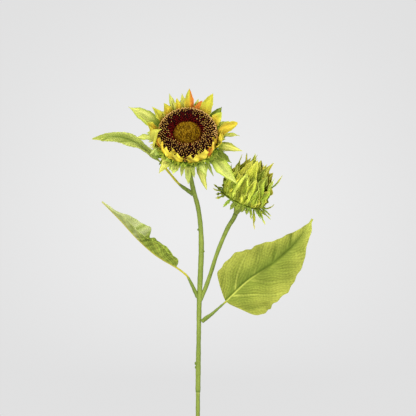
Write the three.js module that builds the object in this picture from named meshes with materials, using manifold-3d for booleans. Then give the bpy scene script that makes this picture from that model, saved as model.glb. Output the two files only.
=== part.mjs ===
// Artificial sunflower spray: a coated stem with one open head, one bud on a side shoot and three leaves.
// Millimetres, +Z up, -Y to the front. The origin is the middle of the flat cut under the main stem.
import * as THREE from "three";
import { mergeVertices } from "three/addons/utils/BufferGeometryUtils.js";
import Module from "manifold-3d";

const wasm = await Module();
wasm.setup();

// Gap that neighbouring solids keep, and the least half width of a pointed tip.
const CLEARANCE = 0.35;
const TIP_HALF_WIDTH = 0.35;
// Detail finer than this is dropped from a finished solid.
const SLIVER = 0.06;

// A limb has this many sides, and this many steps between two rows of its route.
const LIMB_SIDES = 8;
const STEPS_PER_SPAN = 3;
// Facets round a turned piece, and round the seed ring, which is the largest.
const ROUND_SEGMENTS = 20;
const RING_SEGMENTS = 28;

// Routes are rows of x, y, z and radius. The main stem rises from its cut foot and nods forward at the
// neck.
const HEAD_CENTRE = [-10.9, -36, 604.5];
const HEAD_TILT = 32;
const NECK_LENGTH = 16.3;
const STEM = [
  [0, 0, 0, 2.15],
  [0, 0, 110, 2.15],
  [0, 0, 220, 2.15],
  [0.1, 0, 325, 2.2],
  [1.0, 0, 390, 2.35],
  [1.6, 0, 428, 2.6],
  [2.9, 0, 458, 2.5],
  [3.9, 0, 485, 2.75],
  [3.2, 0, 510, 2.4],
  [0.6, 0, 530, 2.4],
  [-4.4, 0, 549, 2.5],
  [-8.4, -0.5, 568, 2.4],
  [-10.4, -5.5, 584, 2.6],
];
// Heights of the joint collar, and of the small pegs that stand out of the stem: height, bearing, size.
const COLLAR = { height: 327, radius: 2.5, length: 1.2 };
const PEGS = [
  [353.5, 180, 0.95],
  [358, 175, 1.05],
  [481, 0, 0.8],
  [505, 185, 0.9],
];

// The side shoot leaves the main stem at the fork and carries the bud.
const BUD_CENTRE = [49.6, 5, 540];
const BUD_LEAN = 24;
const BUD_NOD = 15;
const BUD_NECK_LENGTH = 20.35;
const SIDE_SHOOT = [
  [2.0, -0.3, 427, 2.2],
  [7.8, 1.5, 442, 2.3],
  [13.4, 4, 458.5, 2.25],
  [18.6, 6.3, 475.5, 2.2],
  [25.2, 8.3, 492.5, 2.3],
  [33.4, 9.8, 509, 2.4],
];

// Each leaf: its petiole's route, its rib's route, which way the blade faces at root and tip, the half widths
// on its two sides, how far the halves fold up at root and tip, the depth and count of the ruffles along its
// margin, and for the two sides how round the outline is at the root and how slim at the tip.
const LEAVES = {
  right: {
    petiole: [
      [4.6, -1.6, 404.6, 2.0],
      [9.0, -3.4, 408.6, 2.3],
      [15.0, -5.6, 413.0, 1.6],
      [23.0, -7.8, 420.0, 1.1],
    ],
    rib: [
      [30.9, -9.5, 426.5],
      [54.0, -13.0, 448.5],
      [75.5, -15.0, 463.5],
      [100.5, -15.5, 484.5],
      [117.0, -12.5, 503.0],
      [125.5, -9.0, 516.7],
    ],
    faces: [
      [-0.05, -0.96, 0.26],
      [0.1, -0.99, 0.1],
    ],
    halfWidths: [33, 37],
    fold: [8, 14],
    ruffle: [2.2, 3.5],
    belly: [0.38, 0.42],
    taper: [1.3, 1.2],
  },
  lower_left: {
    petiole: [
      [-0.6, -1.0, 430.5, 1.6],
      [-3.4, -2.2, 437.5, 2.0],
      [-8.4, -3.6, 448.0, 1.5],
      [-12.0, -4.4, 454.3, 1.0],
      [-18.0, -5.4, 459.5, 0.9],
    ],
    rib: [
      [-24.1, -6.0, 463.9],
      [-46.0, -8.0, 478.5],
      [-67.0, -9.0, 496.0],
      [-86.0, -8.0, 515.0],
      [-106.0, -5.0, 535.6],
    ],
    faces: [
      [0.5, -0.1, 0.86],
      [0.62, -0.3, 0.72],
    ],
    halfWidths: [21, 20],
    fold: [46, 38],
    ruffle: [1.8, 2.5],
    belly: [0.34, 0.34],
    taper: [0.95, 0.95],
  },
  upper_left: {
    petiole: [
      [-5.4, 0.6, 543.6, 1.7],
      [-9.6, 1.4, 548.2, 2.0],
      [-16.0, 2.2, 553.4, 1.5],
      [-20.0, 2.6, 557.0, 0.95],
      [-31.0, 3.2, 569.5, 0.9],
    ],
    rib: [
      [-40.6, 3.0, 579.6],
      [-52.5, 1.5, 590.4],
      [-66.0, 0.0, 600.0],
      [-84.0, -1.5, 606.6],
      [-100.0, -2.5, 607.4],
      [-116.0, -3.5, 604.8],
    ],
    faces: [
      [0.55, -0.28, 0.79],
      [-0.15, -0.45, 0.88],
    ],
    halfWidths: [17, 17],
    fold: [8, -6],
    ruffle: [1.4, 2.5],
    belly: [0.8, 0.8],
    taper: [0.6, 0.6],
  },
};
const LEAF_THICKNESS = 1.4;
const RIB_RADIUS = 1;
const LEAF_FACETS = { across: 6, along: 12 };
// A leaf's facets crowd toward its root, where the outline turns most: above 1, this makes them crowd more.
const ROOT_CROWDING = 1.45;
// Where along their waves the ruffles of the two sides start, in turns.
const RUFFLE_STARTS = [0.2, 0.65];

// Whorls are stamped layers threaded on a post. Petals are rows of bearing, length, width, lift at the root,
// lift at the tip and sideways turn at the tip. Bearing 0 is the right of the head and 90 its top. Lift 90
// points straight along the flower's axis.
const RAYS = [
  [88, 29, 11, 74, 30, 0],
  [72, 18, 8, 72, 30, -38],
  [58, 30, 13, 72, 28, -6],
  [31, 20, 13, 76, 34, 4],
  [8, 31, 12, 78, 10, 6],
  [-14, 18, 12, 82, 88, 4],
  [-34, 17, 13, 82, 94, -4],
  [-55, 15, 13, 82, 100, -6],
  [-76, 12, 12, 82, 104, -8],
  [-112, 14, 12, 82, 100, 8],
  [-131, 16, 13, 82, 104, 0],
  [-150, 16, 12, 82, 100, 0],
  [-168, 14, 11, 80, 84, 0],
  [173, 23, 11, 76, 44, 8],
  [144, 25, 10, 75, 32, 4],
  [126, 20, 12, 74, 44, 6],
  [106, 20, 8, 74, 40, 2],
];
const INNER_BRACTS = [
  [150, 41, 17, 30, 2, 0],
  [134, 15, 8, 42, 20, 3],
  [113, 25, 7.5, 54, 36, 0],
  [97, 22, 7, 52, 34, 2],
  [76, 17, 7, 50, 30, 0],
  [42, 20, 10, 46, 22, 4],
  [22, 16, 8, 40, 16, 0],
  [5, 23, 5, 22, -22, -4],
  [-166, 26, 13, 78, 130, 0],
  [178, 22, 9, 8, -14, -10],
];
const MIDDLE_BRACTS = [
  [0, 10, 6, 4, 0, 6],
  [-12, 30, 9.5, 6, -26, 2],
  [-28, 24, 8.5, -8, -32, -4],
  [-40, 44, 14, -18, -42, 3],
  [-64, 18, 8, -12, -40, 0],
  [-112, 14, 9, -28, -48, 6],
  [-128, 20, 8, -10, -40, -6],
  [-150, 13, 9, -4, -40, -6],
  [166, 15, 9, -2, -24, 6],
  [137, 20, 10, -2, -26, 0],
  [108, 18, 9, 2, -20, 4],
  [82, 20, 10, 0, -22, -5],
  [52, 18, 9, -4, -24, 0],
  [26, 19, 10, 0, -26, 5],
];
const OUTER_BRACTS = [
  [-69, 36, 9, -36, -62, 6],
  [-50, 26, 4, -40, -62, 0],
  [-80, 20, 4.5, -42, -66, 4],
  [-89, 26, 7, -40, -64, 0],
  [-100, 18, 4.5, -44, -60, 0],
  [-122, 15, 5, -34, -60, 0],
  [-142, 17, 6, -34, -56, 0],
  [-168, 21, 8, -30, -56, 4],
  [168, 24, 7, -32, -60, 0],
  [146, 21, 8, -30, -56, -4],
  [120, 25, 7, -34, -58, 5],
  [96, 22, 8, -32, -60, 0],
  [70, 25, 7, -30, -58, -5],
  [46, 22, 8, -34, -56, 0],
  [20, 24, 7, -32, -60, 4],
  [-8, 20, 6, -34, -58, 0],
  [-30, 20, 5, -38, -60, 0],
];
// The bud's two petal layers follow a rule. Its sepals are narrow, and a few on the right and underside
// are long.
const BUD_INNER_PETALS = petalRows({
  count: 9,
  first: 30,
  length: 41,
  width: 15,
  lift: [80, 116],
  seed: 300,
});
const BUD_OUTER_PETALS = petalRows({
  count: 12,
  first: 12,
  length: 34,
  width: 16,
  lift: [74, 116],
  seed: 7,
});
const BUD_SEPALS = [
  [4, 17, 3.2, 0, 70, 8],
  [-14, 17, 3.4, -20, -6, 6],
  [-26, 19, 3, -36, -30, 4],
  [-34, 12, 3.4, -30, -40, 4],
  [-46, 23, 3, -50, -62, 0],
  [-56, 13, 3.4, -46, -56, 0],
  [-68, 9, 4, -40, -60, 0],
  [-80, 8, 4.6, -40, -60, 0],
  [-94, 9, 4.6, -46, -62, 0],
  [-106, 11, 4, -46, -60, 0],
  [-122, 13, 3.6, -40, -60, 6],
  [-148, 12, 3.6, -26, -50, -4],
  [-168, 9, 4.4, -30, -44, -6],
  [174, 13, 3.4, -6, 24, -8],
  [152, 12, 3.4, -14, -30, 0],
  [130, 14, 3.8, -24, -44, 4],
  [106, 12, 3.4, -30, -50, 0],
  [84, 15, 4, -20, -40, -5],
  [56, 35, 3.4, 70, 52, 0],
  [38, 42, 3, 70, 52, -10],
  [22, 14, 3.8, -16, -34, 4],
];
const PETAL_THICKNESS = 0.75;
// Where along it a petal is widest, how wide its root is as a share of that, and how bluntly it ends.
const PETAL_OUTLINE = { widest: 0.4, root: 0.6, bluntness: 0.8 };

const RAY_YELLOW = 0xe0c33c;
const BRACT_PALE = 0xc3cc58;
const BRACT_GREEN = 0xa9bb4a;
const BUD_OLIVE = 0xa8ad3c;
const SEPAL_GREEN = 0xa0b244;

// The layers of the head and of the bud, from the inside out: the height of the washer's top, its rim's
// radius, how far its petals are cupped and rolled, and the number of facets across and along a petal.
const HEAD_LAYERS = {
  ray_petals: {
    rows: RAYS,
    top: -0.35,
    rim: 33,
    cup: 0.1,
    roll: 7,
    facets: [2, 5],
    color: RAY_YELLOW,
  },
  inner_bracts: {
    rows: INNER_BRACTS,
    top: -1.65,
    rim: 34.6,
    cup: 0.12,
    roll: 7,
    facets: [2, 5],
    color: BRACT_PALE,
  },
  middle_bracts: {
    rows: MIDDLE_BRACTS,
    top: -2.95,
    rim: 31.6,
    cup: 0.3,
    roll: 0,
    facets: [2, 4],
    color: BRACT_GREEN,
  },
  outer_bracts: {
    rows: OUTER_BRACTS,
    top: -4.25,
    rim: 27.4,
    cup: 0,
    roll: 0,
    facets: [1, 4],
    color: BRACT_GREEN,
  },
};
const BUD_LAYERS = {
  bud_inner_petals: {
    rows: BUD_INNER_PETALS,
    top: 0.55,
    rim: 15.2,
    cup: 0.2,
    roll: 10,
    facets: [2, 5],
    color: BUD_OLIVE,
  },
  bud_outer_petals: {
    rows: BUD_OUTER_PETALS,
    top: -0.75,
    rim: 22,
    cup: 0.2,
    roll: 10,
    facets: [2, 5],
    color: BUD_OLIVE,
  },
  bud_sepals: {
    rows: BUD_SEPALS,
    top: -2.05,
    rim: 22.6,
    cup: 0,
    roll: 0,
    facets: [1, 4],
    color: SEPAL_GREEN,
  },
};

// Plain colours and how matte each surface is.
const STEM_COAT = { color: 0x95a850, roughness: 0.6 };
const LEAF_CLOTH = { color: 0x9aa63c, roughness: 0.85 };
const SEED_FELT = { color: 0x3b2013, roughness: 0.9 };
const DISC_FUZZ = { color: 0x7d6a12, roughness: 0.95 };
const BUD_FELT = { color: 0x6f7a2a, roughness: 0.9 };
const PETAL_ROUGHNESS = 0.8;

// Turned pieces: rows of radius and height along the head's or the bud's axis.
const SEED_RING = [
  [15.6, 0],
  [30.2, 0],
  [31.4, 4],
  [31.5, 8],
  [30.2, 12.2],
  [27.2, 15.2],
  [23.4, 16.2],
  [19.5, 15],
  [16.8, 12.4],
  [15.6, 9.5],
  [15.6, 0],
];
const DISC_CENTRE = [
  [0, 0],
  [15.2, 0],
  [15.2, 9.2],
  [13.5, 10.6],
  [9, 11.6],
  [0, 12],
];
const POST_RADIUS = 6;
const CALYX_CUP = [
  [0, -16],
  [4.2, -16],
  [5, -13.5],
  [7.5, -11],
  [13, -8.8],
  [20, -7.4],
  [26, -6.2],
  [26, -5.6],
  [POST_RADIUS, -5.6],
  [POST_RADIUS, -0.35],
  [0, -0.35],
];
const LAYER_THICKNESS = 0.95;
const ROOT_SINK = 0.6;
const BUD_CORE = [
  [0, 0.9],
  [10, 0.9],
  [12.4, 8],
  [12.6, 18],
  [10.5, 27],
  [6.5, 33],
  [0, 36],
];
const BUD_CUP = [
  [0, -20],
  [2.7, -20],
  [3.3, -17],
  [4.9, -13.5],
  [7.2, -10.5],
  [9.6, -8.2],
  [14, -5.6],
  [19, -3.9],
  [19, -3.35],
  [POST_RADIUS, -3.35],
  [POST_RADIUS, 0.55],
  [0, 0.55],
];

const vector = ([x, y, z]) => new THREE.Vector3(x, y, z);
const radians = THREE.MathUtils.degToRad;
const mix = THREE.MathUtils.lerp;

// A repeatable number from 0 to 1 for a whole number.
function scatter(k) {
  const s = Math.sin(k * 12.9898 + 4.1) * 43758.5453;
  return s - Math.floor(s);
}

// A closed geometry as a solid, without the folded-up triangles at a pole.
function solid(geometry) {
  geometry.deleteAttribute("normal");
  geometry.deleteAttribute("uv");
  const merged = mergeVertices(geometry, 1e-4);
  const corners = merged.index.array;
  const kept = [];
  for (let i = 0; i < corners.length; i += 3) {
    const [a, b, c] = corners.slice(i, i + 3);
    if (a !== b && b !== c && c !== a) kept.push(a, b, c);
  }
  return new wasm.Manifold(
    new wasm.Mesh({
      numProp: 3,
      vertProperties: merged.attributes.position.array,
      triVerts: new Uint32Array(kept),
    }),
  );
}

// Moves every vertex of a geometry to place(x, y, z).
function bend(geometry, place) {
  const position = geometry.attributes.position;
  for (let i = 0; i < position.count; i++) {
    const p = place(position.getX(i), position.getY(i), position.getZ(i));
    position.setXYZ(i, p.x, p.y, p.z);
  }
  return geometry;
}

// The largest of a joined or cut solid's bodies, without the slivers that joining and cutting leave.
function whole(made) {
  const largest = made.decompose().reduce((a, b) => (b.volume() > a.volume() ? b : a));
  return largest.simplify(SLIVER);
}

// A round tapering limb through rows of x, y, z and radius. beside is a direction that its route never takes.
function limb(rows, { beside = [0, 1, 0], grow = 0 } = {}) {
  const spans = rows.length - 1;
  const curve = new THREE.CatmullRomCurve3(rows.map(vector), false, "centripetal");
  const tube = new THREE.CylinderGeometry(1, 1, 1, LIMB_SIDES, spans * STEPS_PER_SPAN);
  return solid(
    bend(tube, (x, y, z) => {
      const t = y + 0.5;
      const span = Math.min(Math.floor(t * spans), spans - 1);
      const radius = mix(rows[span][3], rows[span + 1][3], t * spans - span) + grow;
      const ahead = curve.getTangent(t);
      const across = vector(beside).cross(ahead).normalize();
      const outward = across.clone().cross(ahead);
      return curve.getPoint(t).addScaledVector(across, x * radius).addScaledVector(outward, z * radius);
    }),
  );
}

// A thin plate. t runs from 0 at its root to 1 at its tip, and u from -1 to 1 across it. frame(t) gives its
// middle line's point, side and face, half(t, u) its half width, and rise(t, u) how far it stands out of the
// frame's plane.
function plate({ frame, half, rise, thickness, across, along }) {
  const slab = new THREE.BoxGeometry(2, 1, 1, across, along, 1);
  return solid(
    bend(slab, (u, y, w) => {
      const t = y + 0.5;
      const { point, side, face } = frame(t);
      return point
        .clone()
        .addScaledVector(side, u * half(t, u))
        .addScaledVector(face, rise(t, u) + w * thickness(u, w));
    }),
  );
}

// The frame of a flower: its axis, and the directions of bearing 0 and bearing 90 around it.
function flowerFrame(centre, axis, right) {
  return { centre: vector(centre), axis, right, up: axis.clone().cross(right) };
}

// A piece turned about a flower's axis.
function turned(profile, flower, segments) {
  const lathe = new THREE.LatheGeometry(
    profile.map(([radius, height]) => new THREE.Vector2(radius, height)),
    segments,
  );
  const placed = new THREE.Matrix4()
    .makeBasis(flower.right, flower.axis, flower.up.clone().negate())
    .setPosition(flower.centre);
  return solid(lathe.applyMatrix4(placed));
}

// The middle line of a petal, worked out step by step from its root.
function petalFrame(flower, row, root, height, roll) {
  const [bearing, length, , rootLift, tipLift, turn] = row;
  const steps = 60;
  const at = (t) => {
    const lift = radians(mix(rootLift, tipLift, t));
    const angle = radians(bearing + turn * t * t);
    const outward = flower.right
      .clone()
      .multiplyScalar(Math.cos(angle))
      .addScaledVector(flower.up, Math.sin(angle));
    const ahead = outward
      .clone()
      .multiplyScalar(Math.cos(lift))
      .addScaledVector(flower.axis, Math.sin(lift));
    const upright = outward
      .clone()
      .multiplyScalar(-Math.sin(lift))
      .addScaledVector(flower.axis, Math.cos(lift));
    const face = upright.applyAxisAngle(ahead, radians(roll));
    return { outward, ahead, face, side: ahead.clone().cross(face) };
  };
  const start = flower.centre
    .clone()
    .addScaledVector(at(0).outward, root)
    .addScaledVector(flower.axis, height);
  const points = [start];
  for (let i = 0; i < steps; i++) {
    points.push(points[i].clone().addScaledVector(at((i + 0.5) / steps).ahead, length / steps));
  }
  return (t) => ({ ...at(t), point: points[Math.round(t * steps)] });
}

// How wide a petal is along its length, as a share of its full width. It ends in a point.
function petalOutline(t) {
  const { widest, root, bluntness } = PETAL_OUTLINE;
  if (t < widest) return mix(root, 1, Math.sin((Math.PI / 2) * (t / widest)));
  return Math.cos((Math.PI / 2) * ((t - widest) / (1 - widest))) ** bluntness;
}

function petal(flower, row, height, { rim, cup, roll, facets: [across, along] }, grow) {
  const halfWidth = row[2] / 2;
  const half = (t) => Math.max(halfWidth * petalOutline(t), TIP_HALF_WIDTH) + grow;
  return plate({
    frame: petalFrame(flower, row, rim - ROOT_SINK, height, roll),
    half,
    rise: (t, u) => cup * u * u * half(t),
    thickness: () => PETAL_THICKNESS + 2 * grow,
    across,
    along,
  });
}

// The profile of a turned piece with room left round it, except inside its bore or at its axis.
function roomy(profile) {
  const bore = Math.min(...profile.map(([radius]) => radius));
  const foot = Math.min(...profile.map(([, height]) => height));
  return profile.map(([radius, height]) => [
    radius > bore ? radius + CLEARANCE : radius,
    height > foot ? height + CLEARANCE : height - CLEARANCE,
  ]);
}

// One stamped layer: a flat washer round the post with its petals fused on.
function whorl(flower, layer, grow = 0) {
  const { rows, top, rim } = layer;
  const bottom = top - LAYER_THICKNESS;
  const hole = POST_RADIUS + CLEARANCE - grow;
  const washer = turned(
    [
      [hole, bottom - grow],
      [rim + grow, bottom - grow],
      [rim + grow, top + grow],
      [hole, top + grow],
      [hole, bottom - grow],
    ],
    flower,
    ROUND_SEGMENTS,
  );
  const middle = (top + bottom) / 2;
  return rows.reduce((made, row) => made.add(petal(flower, row, middle, layer, grow)), washer);
}

// The rows of a layer whose petals are set by rule round the bud.
function petalRows({ count, first, length, width, lift, seed }) {
  return Array.from({ length: count }, (_, i) => [
    first + (360 / count) * i + 8 * (scatter(seed + i) - 0.5),
    length * (0.86 + 0.26 * scatter(seed + i + 40)),
    width * (0.85 + 0.3 * scatter(seed + i + 80)),
    lift[0] + 8 * (scatter(seed + i + 120) - 0.5),
    lift[1] + 26 * (scatter(seed + i + 160) - 0.5),
    24 * (scatter(seed + i + 200) - 0.5),
  ]);
}

// A heart-shaped leaf's half width along its rib, as a share of the widest.
function leafOutline(t, belly, taper) {
  const widest = belly / (belly + taper);
  const most = widest ** belly * (1 - widest) ** taper;
  return (t ** belly * (1 - t) ** taper) / most;
}

// A leaf blade: a plate that folds up on both sides of its rib and is thicker along it.
function leafBlade({ rib, faces, halfWidths, fold, ruffle, belly, taper }) {
  const curve = new THREE.CatmullRomCurve3(rib.map(vector), false, "centripetal");
  const [facesRoot, facesTip] = faces.map(vector);
  const [depth, count] = ruffle;
  const early = (t) => t ** ROOT_CROWDING;
  const half = (t, u) => {
    const edge = u < 0 ? 0 : 1;
    return Math.max(halfWidths[edge] * leafOutline(early(t), belly[edge], taper[edge]), RIB_RADIUS);
  };
  return plate({
    frame: (t) => {
      const ahead = curve.getTangentAt(early(t));
      const wanted = facesRoot.clone().lerp(facesTip, t);
      const side = ahead.clone().cross(wanted).normalize();
      return { point: curve.getPointAt(early(t)), side, face: side.clone().cross(ahead) };
    },
    half: (t, u) => half(t, u) * Math.cos(radians(mix(...fold, t))),
    rise: (t, u) => {
      const start = RUFFLE_STARTS[u < 0 ? 0 : 1];
      const wave = depth * Math.sin(2 * Math.PI * (count * t + start)) * Math.sin(Math.PI * t);
      return Math.abs(u) * half(t, u) * Math.sin(radians(mix(...fold, t))) + u * u * wave;
    },
    thickness: (u, w) => (u === 0 && w < 0 ? 2 * RIB_RADIUS : LEAF_THICKNESS),
    ...LEAF_FACETS,
  });
}

// A node of the spray, from a solid and its surface's colour and roughness.
function node(name, made, surface) {
  const { numProp, numVert, vertProperties, triVerts } = whole(made).getMesh();
  const positions = new Float32Array(numVert * 3);
  for (let i = 0; i < numVert; i++) {
    positions.set(vertProperties.subarray(i * numProp, i * numProp + 3), i * 3);
  }
  const geometry = new THREE.BufferGeometry();
  geometry.setAttribute("position", new THREE.BufferAttribute(positions, 3));
  geometry.setIndex(new THREE.BufferAttribute(triVerts, 1));
  geometry.computeVertexNormals();
  const mesh = new THREE.Mesh(geometry, new THREE.MeshStandardMaterial({ ...surface, metalness: 0 }));
  mesh.name = name;
  return mesh;
}

const tilt = radians(HEAD_TILT);
const head = flowerFrame(
  HEAD_CENTRE,
  new THREE.Vector3(0, -Math.cos(tilt), Math.sin(tilt)),
  new THREE.Vector3(1, 0, 0),
);
const lean = radians(BUD_LEAN);
const nod = radians(BUD_NOD);
const bud = flowerFrame(
  BUD_CENTRE,
  new THREE.Vector3(Math.sin(lean) * Math.cos(nod), -Math.sin(nod), Math.cos(lean) * Math.cos(nod)),
  new THREE.Vector3(Math.cos(lean), 0, -Math.sin(lean)),
);

// The end of a stem under a flower, on its axis, with a point before it so that it arrives straight.
function arrival(flower, length, radius) {
  return [length + 6, length].map((back) => [
    ...flower.centre.clone().addScaledVector(flower.axis, -back).toArray(),
    radius,
  ]);
}

const STEM_SHAPE = { beside: [1, 0, 0] };
const stemRows = [...STEM, ...arrival(head, NECK_LENGTH, 2.8)];
const sideRows = [...SIDE_SHOOT, ...arrival(bud, BUD_NECK_LENGTH, 2.6)];

// A small round peg on the main stem.
function peg([height, bearing, size]) {
  const above = STEM.findIndex((row) => row[2] > height);
  const [low, high] = [STEM[above - 1], STEM[above]];
  const share = (height - low[2]) / (high[2] - low[2]);
  const radius = mix(low[3], high[3], share);
  const angle = radians(bearing);
  return solid(
    new THREE.SphereGeometry(size, 8, 6).translate(
      mix(low[0], high[0], share) + radius * Math.cos(angle),
      -radius * Math.sin(angle),
      height,
    ),
  );
}

function mainStem() {
  const collar = solid(
    new THREE.CylinderGeometry(COLLAR.radius, COLLAR.radius, COLLAR.length, 10)
      .rotateX(Math.PI / 2)
      .translate(0.1, 0, COLLAR.height),
  );
  return PEGS.reduce(
    (made, row) => made.add(peg(row)),
    limb(stemRows, STEM_SHAPE).add(collar),
  );
}

const stemSpace = limb(stemRows, { ...STEM_SHAPE, grow: CLEARANCE });

// The layers of a flower, each cut clear of the two inside it, and the innermost one of the flower's middle.
function layerNodes(flower, layers, middle) {
  const names = Object.keys(layers);
  const spaces = [middle, ...names.map((name) => whorl(flower, layers[name], CLEARANCE))];
  return names.map((name, i) => {
    const inside = spaces.slice(Math.max(i - 1, 0), i + 1);
    const cut = inside.reduce((made, space) => made.subtract(space), whorl(flower, layers[name]));
    return node(name, cut, { color: layers[name].color, roughness: PETAL_ROUGHNESS });
  });
}

function headNodes() {
  return [
    node("seed_ring", turned(SEED_RING, head, RING_SEGMENTS), SEED_FELT),
    node("disc_centre", turned(DISC_CENTRE, head, ROUND_SEGMENTS), DISC_FUZZ),
    node("calyx_cup", turned(CALYX_CUP, head, ROUND_SEGMENTS), STEM_COAT),
    ...layerNodes(head, HEAD_LAYERS, turned(roomy(SEED_RING), head, RING_SEGMENTS)),
  ];
}

function budNodes() {
  return [
    node("bud_cup", turned(BUD_CUP, bud, ROUND_SEGMENTS), STEM_COAT),
    node("bud_core", turned(BUD_CORE, bud, ROUND_SEGMENTS), BUD_FELT),
    ...layerNodes(bud, BUD_LAYERS, turned(roomy(BUD_CORE), bud, ROUND_SEGMENTS)),
  ];
}

// A petiole runs from the stem's side to just short of its leaf's rib.
function petiole({ petiole: rows, rib }) {
  const [root, next] = rib.slice(0, 2).map(vector);
  const end = root.clone().addScaledVector(next.sub(root).normalize(), -CLEARANCE);
  return limb([...rows, [...end.toArray(), RIB_RADIUS]]).subtract(stemSpace);
}

function leafNodes() {
  return Object.entries(LEAVES).flatMap(([name, leaf]) => [
    node(`petiole_${name}`, petiole(leaf), STEM_COAT),
    node(`leaf_${name}`, leafBlade(leaf), LEAF_CLOTH),
  ]);
}

const spray = new THREE.Group();
spray.name = "sunflower_spray";
spray.add(
  node("main_stem", mainStem(), STEM_COAT),
  node("side_shoot", limb(sideRows).subtract(stemSpace), STEM_COAT),
  ...headNodes(),
  ...budNodes(),
  ...leafNodes(),
);

export default spray;
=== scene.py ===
import math
from dataclasses import dataclass, replace

import bpy
import numpy as np
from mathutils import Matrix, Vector


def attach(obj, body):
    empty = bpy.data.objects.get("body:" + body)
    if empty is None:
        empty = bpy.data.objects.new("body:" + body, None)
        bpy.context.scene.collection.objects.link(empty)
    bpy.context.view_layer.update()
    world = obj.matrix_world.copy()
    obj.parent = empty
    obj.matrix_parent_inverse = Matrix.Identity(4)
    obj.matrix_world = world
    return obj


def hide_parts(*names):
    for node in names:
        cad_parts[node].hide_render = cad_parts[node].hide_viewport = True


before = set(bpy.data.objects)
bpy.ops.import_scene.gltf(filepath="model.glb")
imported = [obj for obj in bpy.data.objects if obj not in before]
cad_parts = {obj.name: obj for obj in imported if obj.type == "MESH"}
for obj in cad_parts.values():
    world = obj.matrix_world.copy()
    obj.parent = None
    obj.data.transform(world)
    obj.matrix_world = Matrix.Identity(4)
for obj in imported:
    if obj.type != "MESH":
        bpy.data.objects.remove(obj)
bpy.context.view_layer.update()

MM = 0.001
TURN = 2 * math.pi


# Sizes and routes. The solids have the same, apart from small shifts that follow the outline more closely.

HEAD_CENTRE = (-10.9, -36, 604.5)
HEAD_TILT = 32
NECK_LENGTH = 16.3
BUD_CENTRE = (49.6, 5, 540)
BUD_LEAN = 24
BUD_NOD = 15
BUD_NECK_LENGTH = 20.35

# Routes are rows of x, y, z and radius.
STEM = [
    (0, 0, 0, 2.15), (0, 0, 110, 2.15), (0, 0, 220, 2.15), (0.1, 0, 325, 2.2), (1.0, 0, 390, 2.35),
    (1.6, 0, 428, 2.7), (2.9, 0, 458, 2.85), (3.8, 0, 485, 2.9), (2.8, 0, 510, 2.45),
    (0.0, 0, 530, 2.4), (-5.1, 0, 549, 2.5), (-8.9, -0.5, 568, 2.4), (-10.4, -5.5, 584, 2.6),
]
# How far a stem runs straight before it ends under its flower.
STRAIGHT_END = 6
COLLAR_HEIGHT = 327
FORK_HEIGHT = 424
UPPER_PETIOLE_HEIGHT = 543
# Height, bearing and size of the small pegs.
PEGS = [(353.5, 180, 1.6), (357.8, 175, 1.9), (481, 0, 0.9), (505, 185, 1.2)]
SIDE_SHOOT = [
    (2.6, -0.3, 427, 2.2), (8.8, 1.5, 442, 2.3), (14.6, 4, 458.5, 2.25), (20.0, 6.3, 475.5, 2.2),
    (26.6, 8.3, 492.5, 2.3), (34.2, 9.8, 509, 2.4),
]


@dataclass
class Leaf:
    """A leaf's routes, outline, relief and screen colours. In pairs, the near half's number is first.

    faces and fold are at the foot and at the tip, and ruffle is the depth and number of its waves. sleeve
    is where the petiole's sleeve ends, and coat its added thickness. quilt, wrinkles and teeth are sizes of
    relief, and contrast is that of the netting's colours. From slim on the blade narrows, and at notch its
    far half is notched and it turns pale. swells are rows of a place, a reach, and how much wider each half
    is there.
    """

    petiole: list
    rib: list
    faces: list
    half_widths: tuple
    belly: tuple
    taper: tuple
    fold: tuple
    ruffle: tuple
    # Its crease tint is painted shade, laid in the folds, grooves and valleys of the blade.
    tints: dict
    sleeve: float = 0.45
    coat: float = 0.15
    quilt: float = 1.2
    wrinkles: float = 1.0
    contrast: float = 1.0
    teeth: float = 0.018
    slim: float = 1.0
    notch: float = 0.0
    swells: tuple = ()


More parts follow.
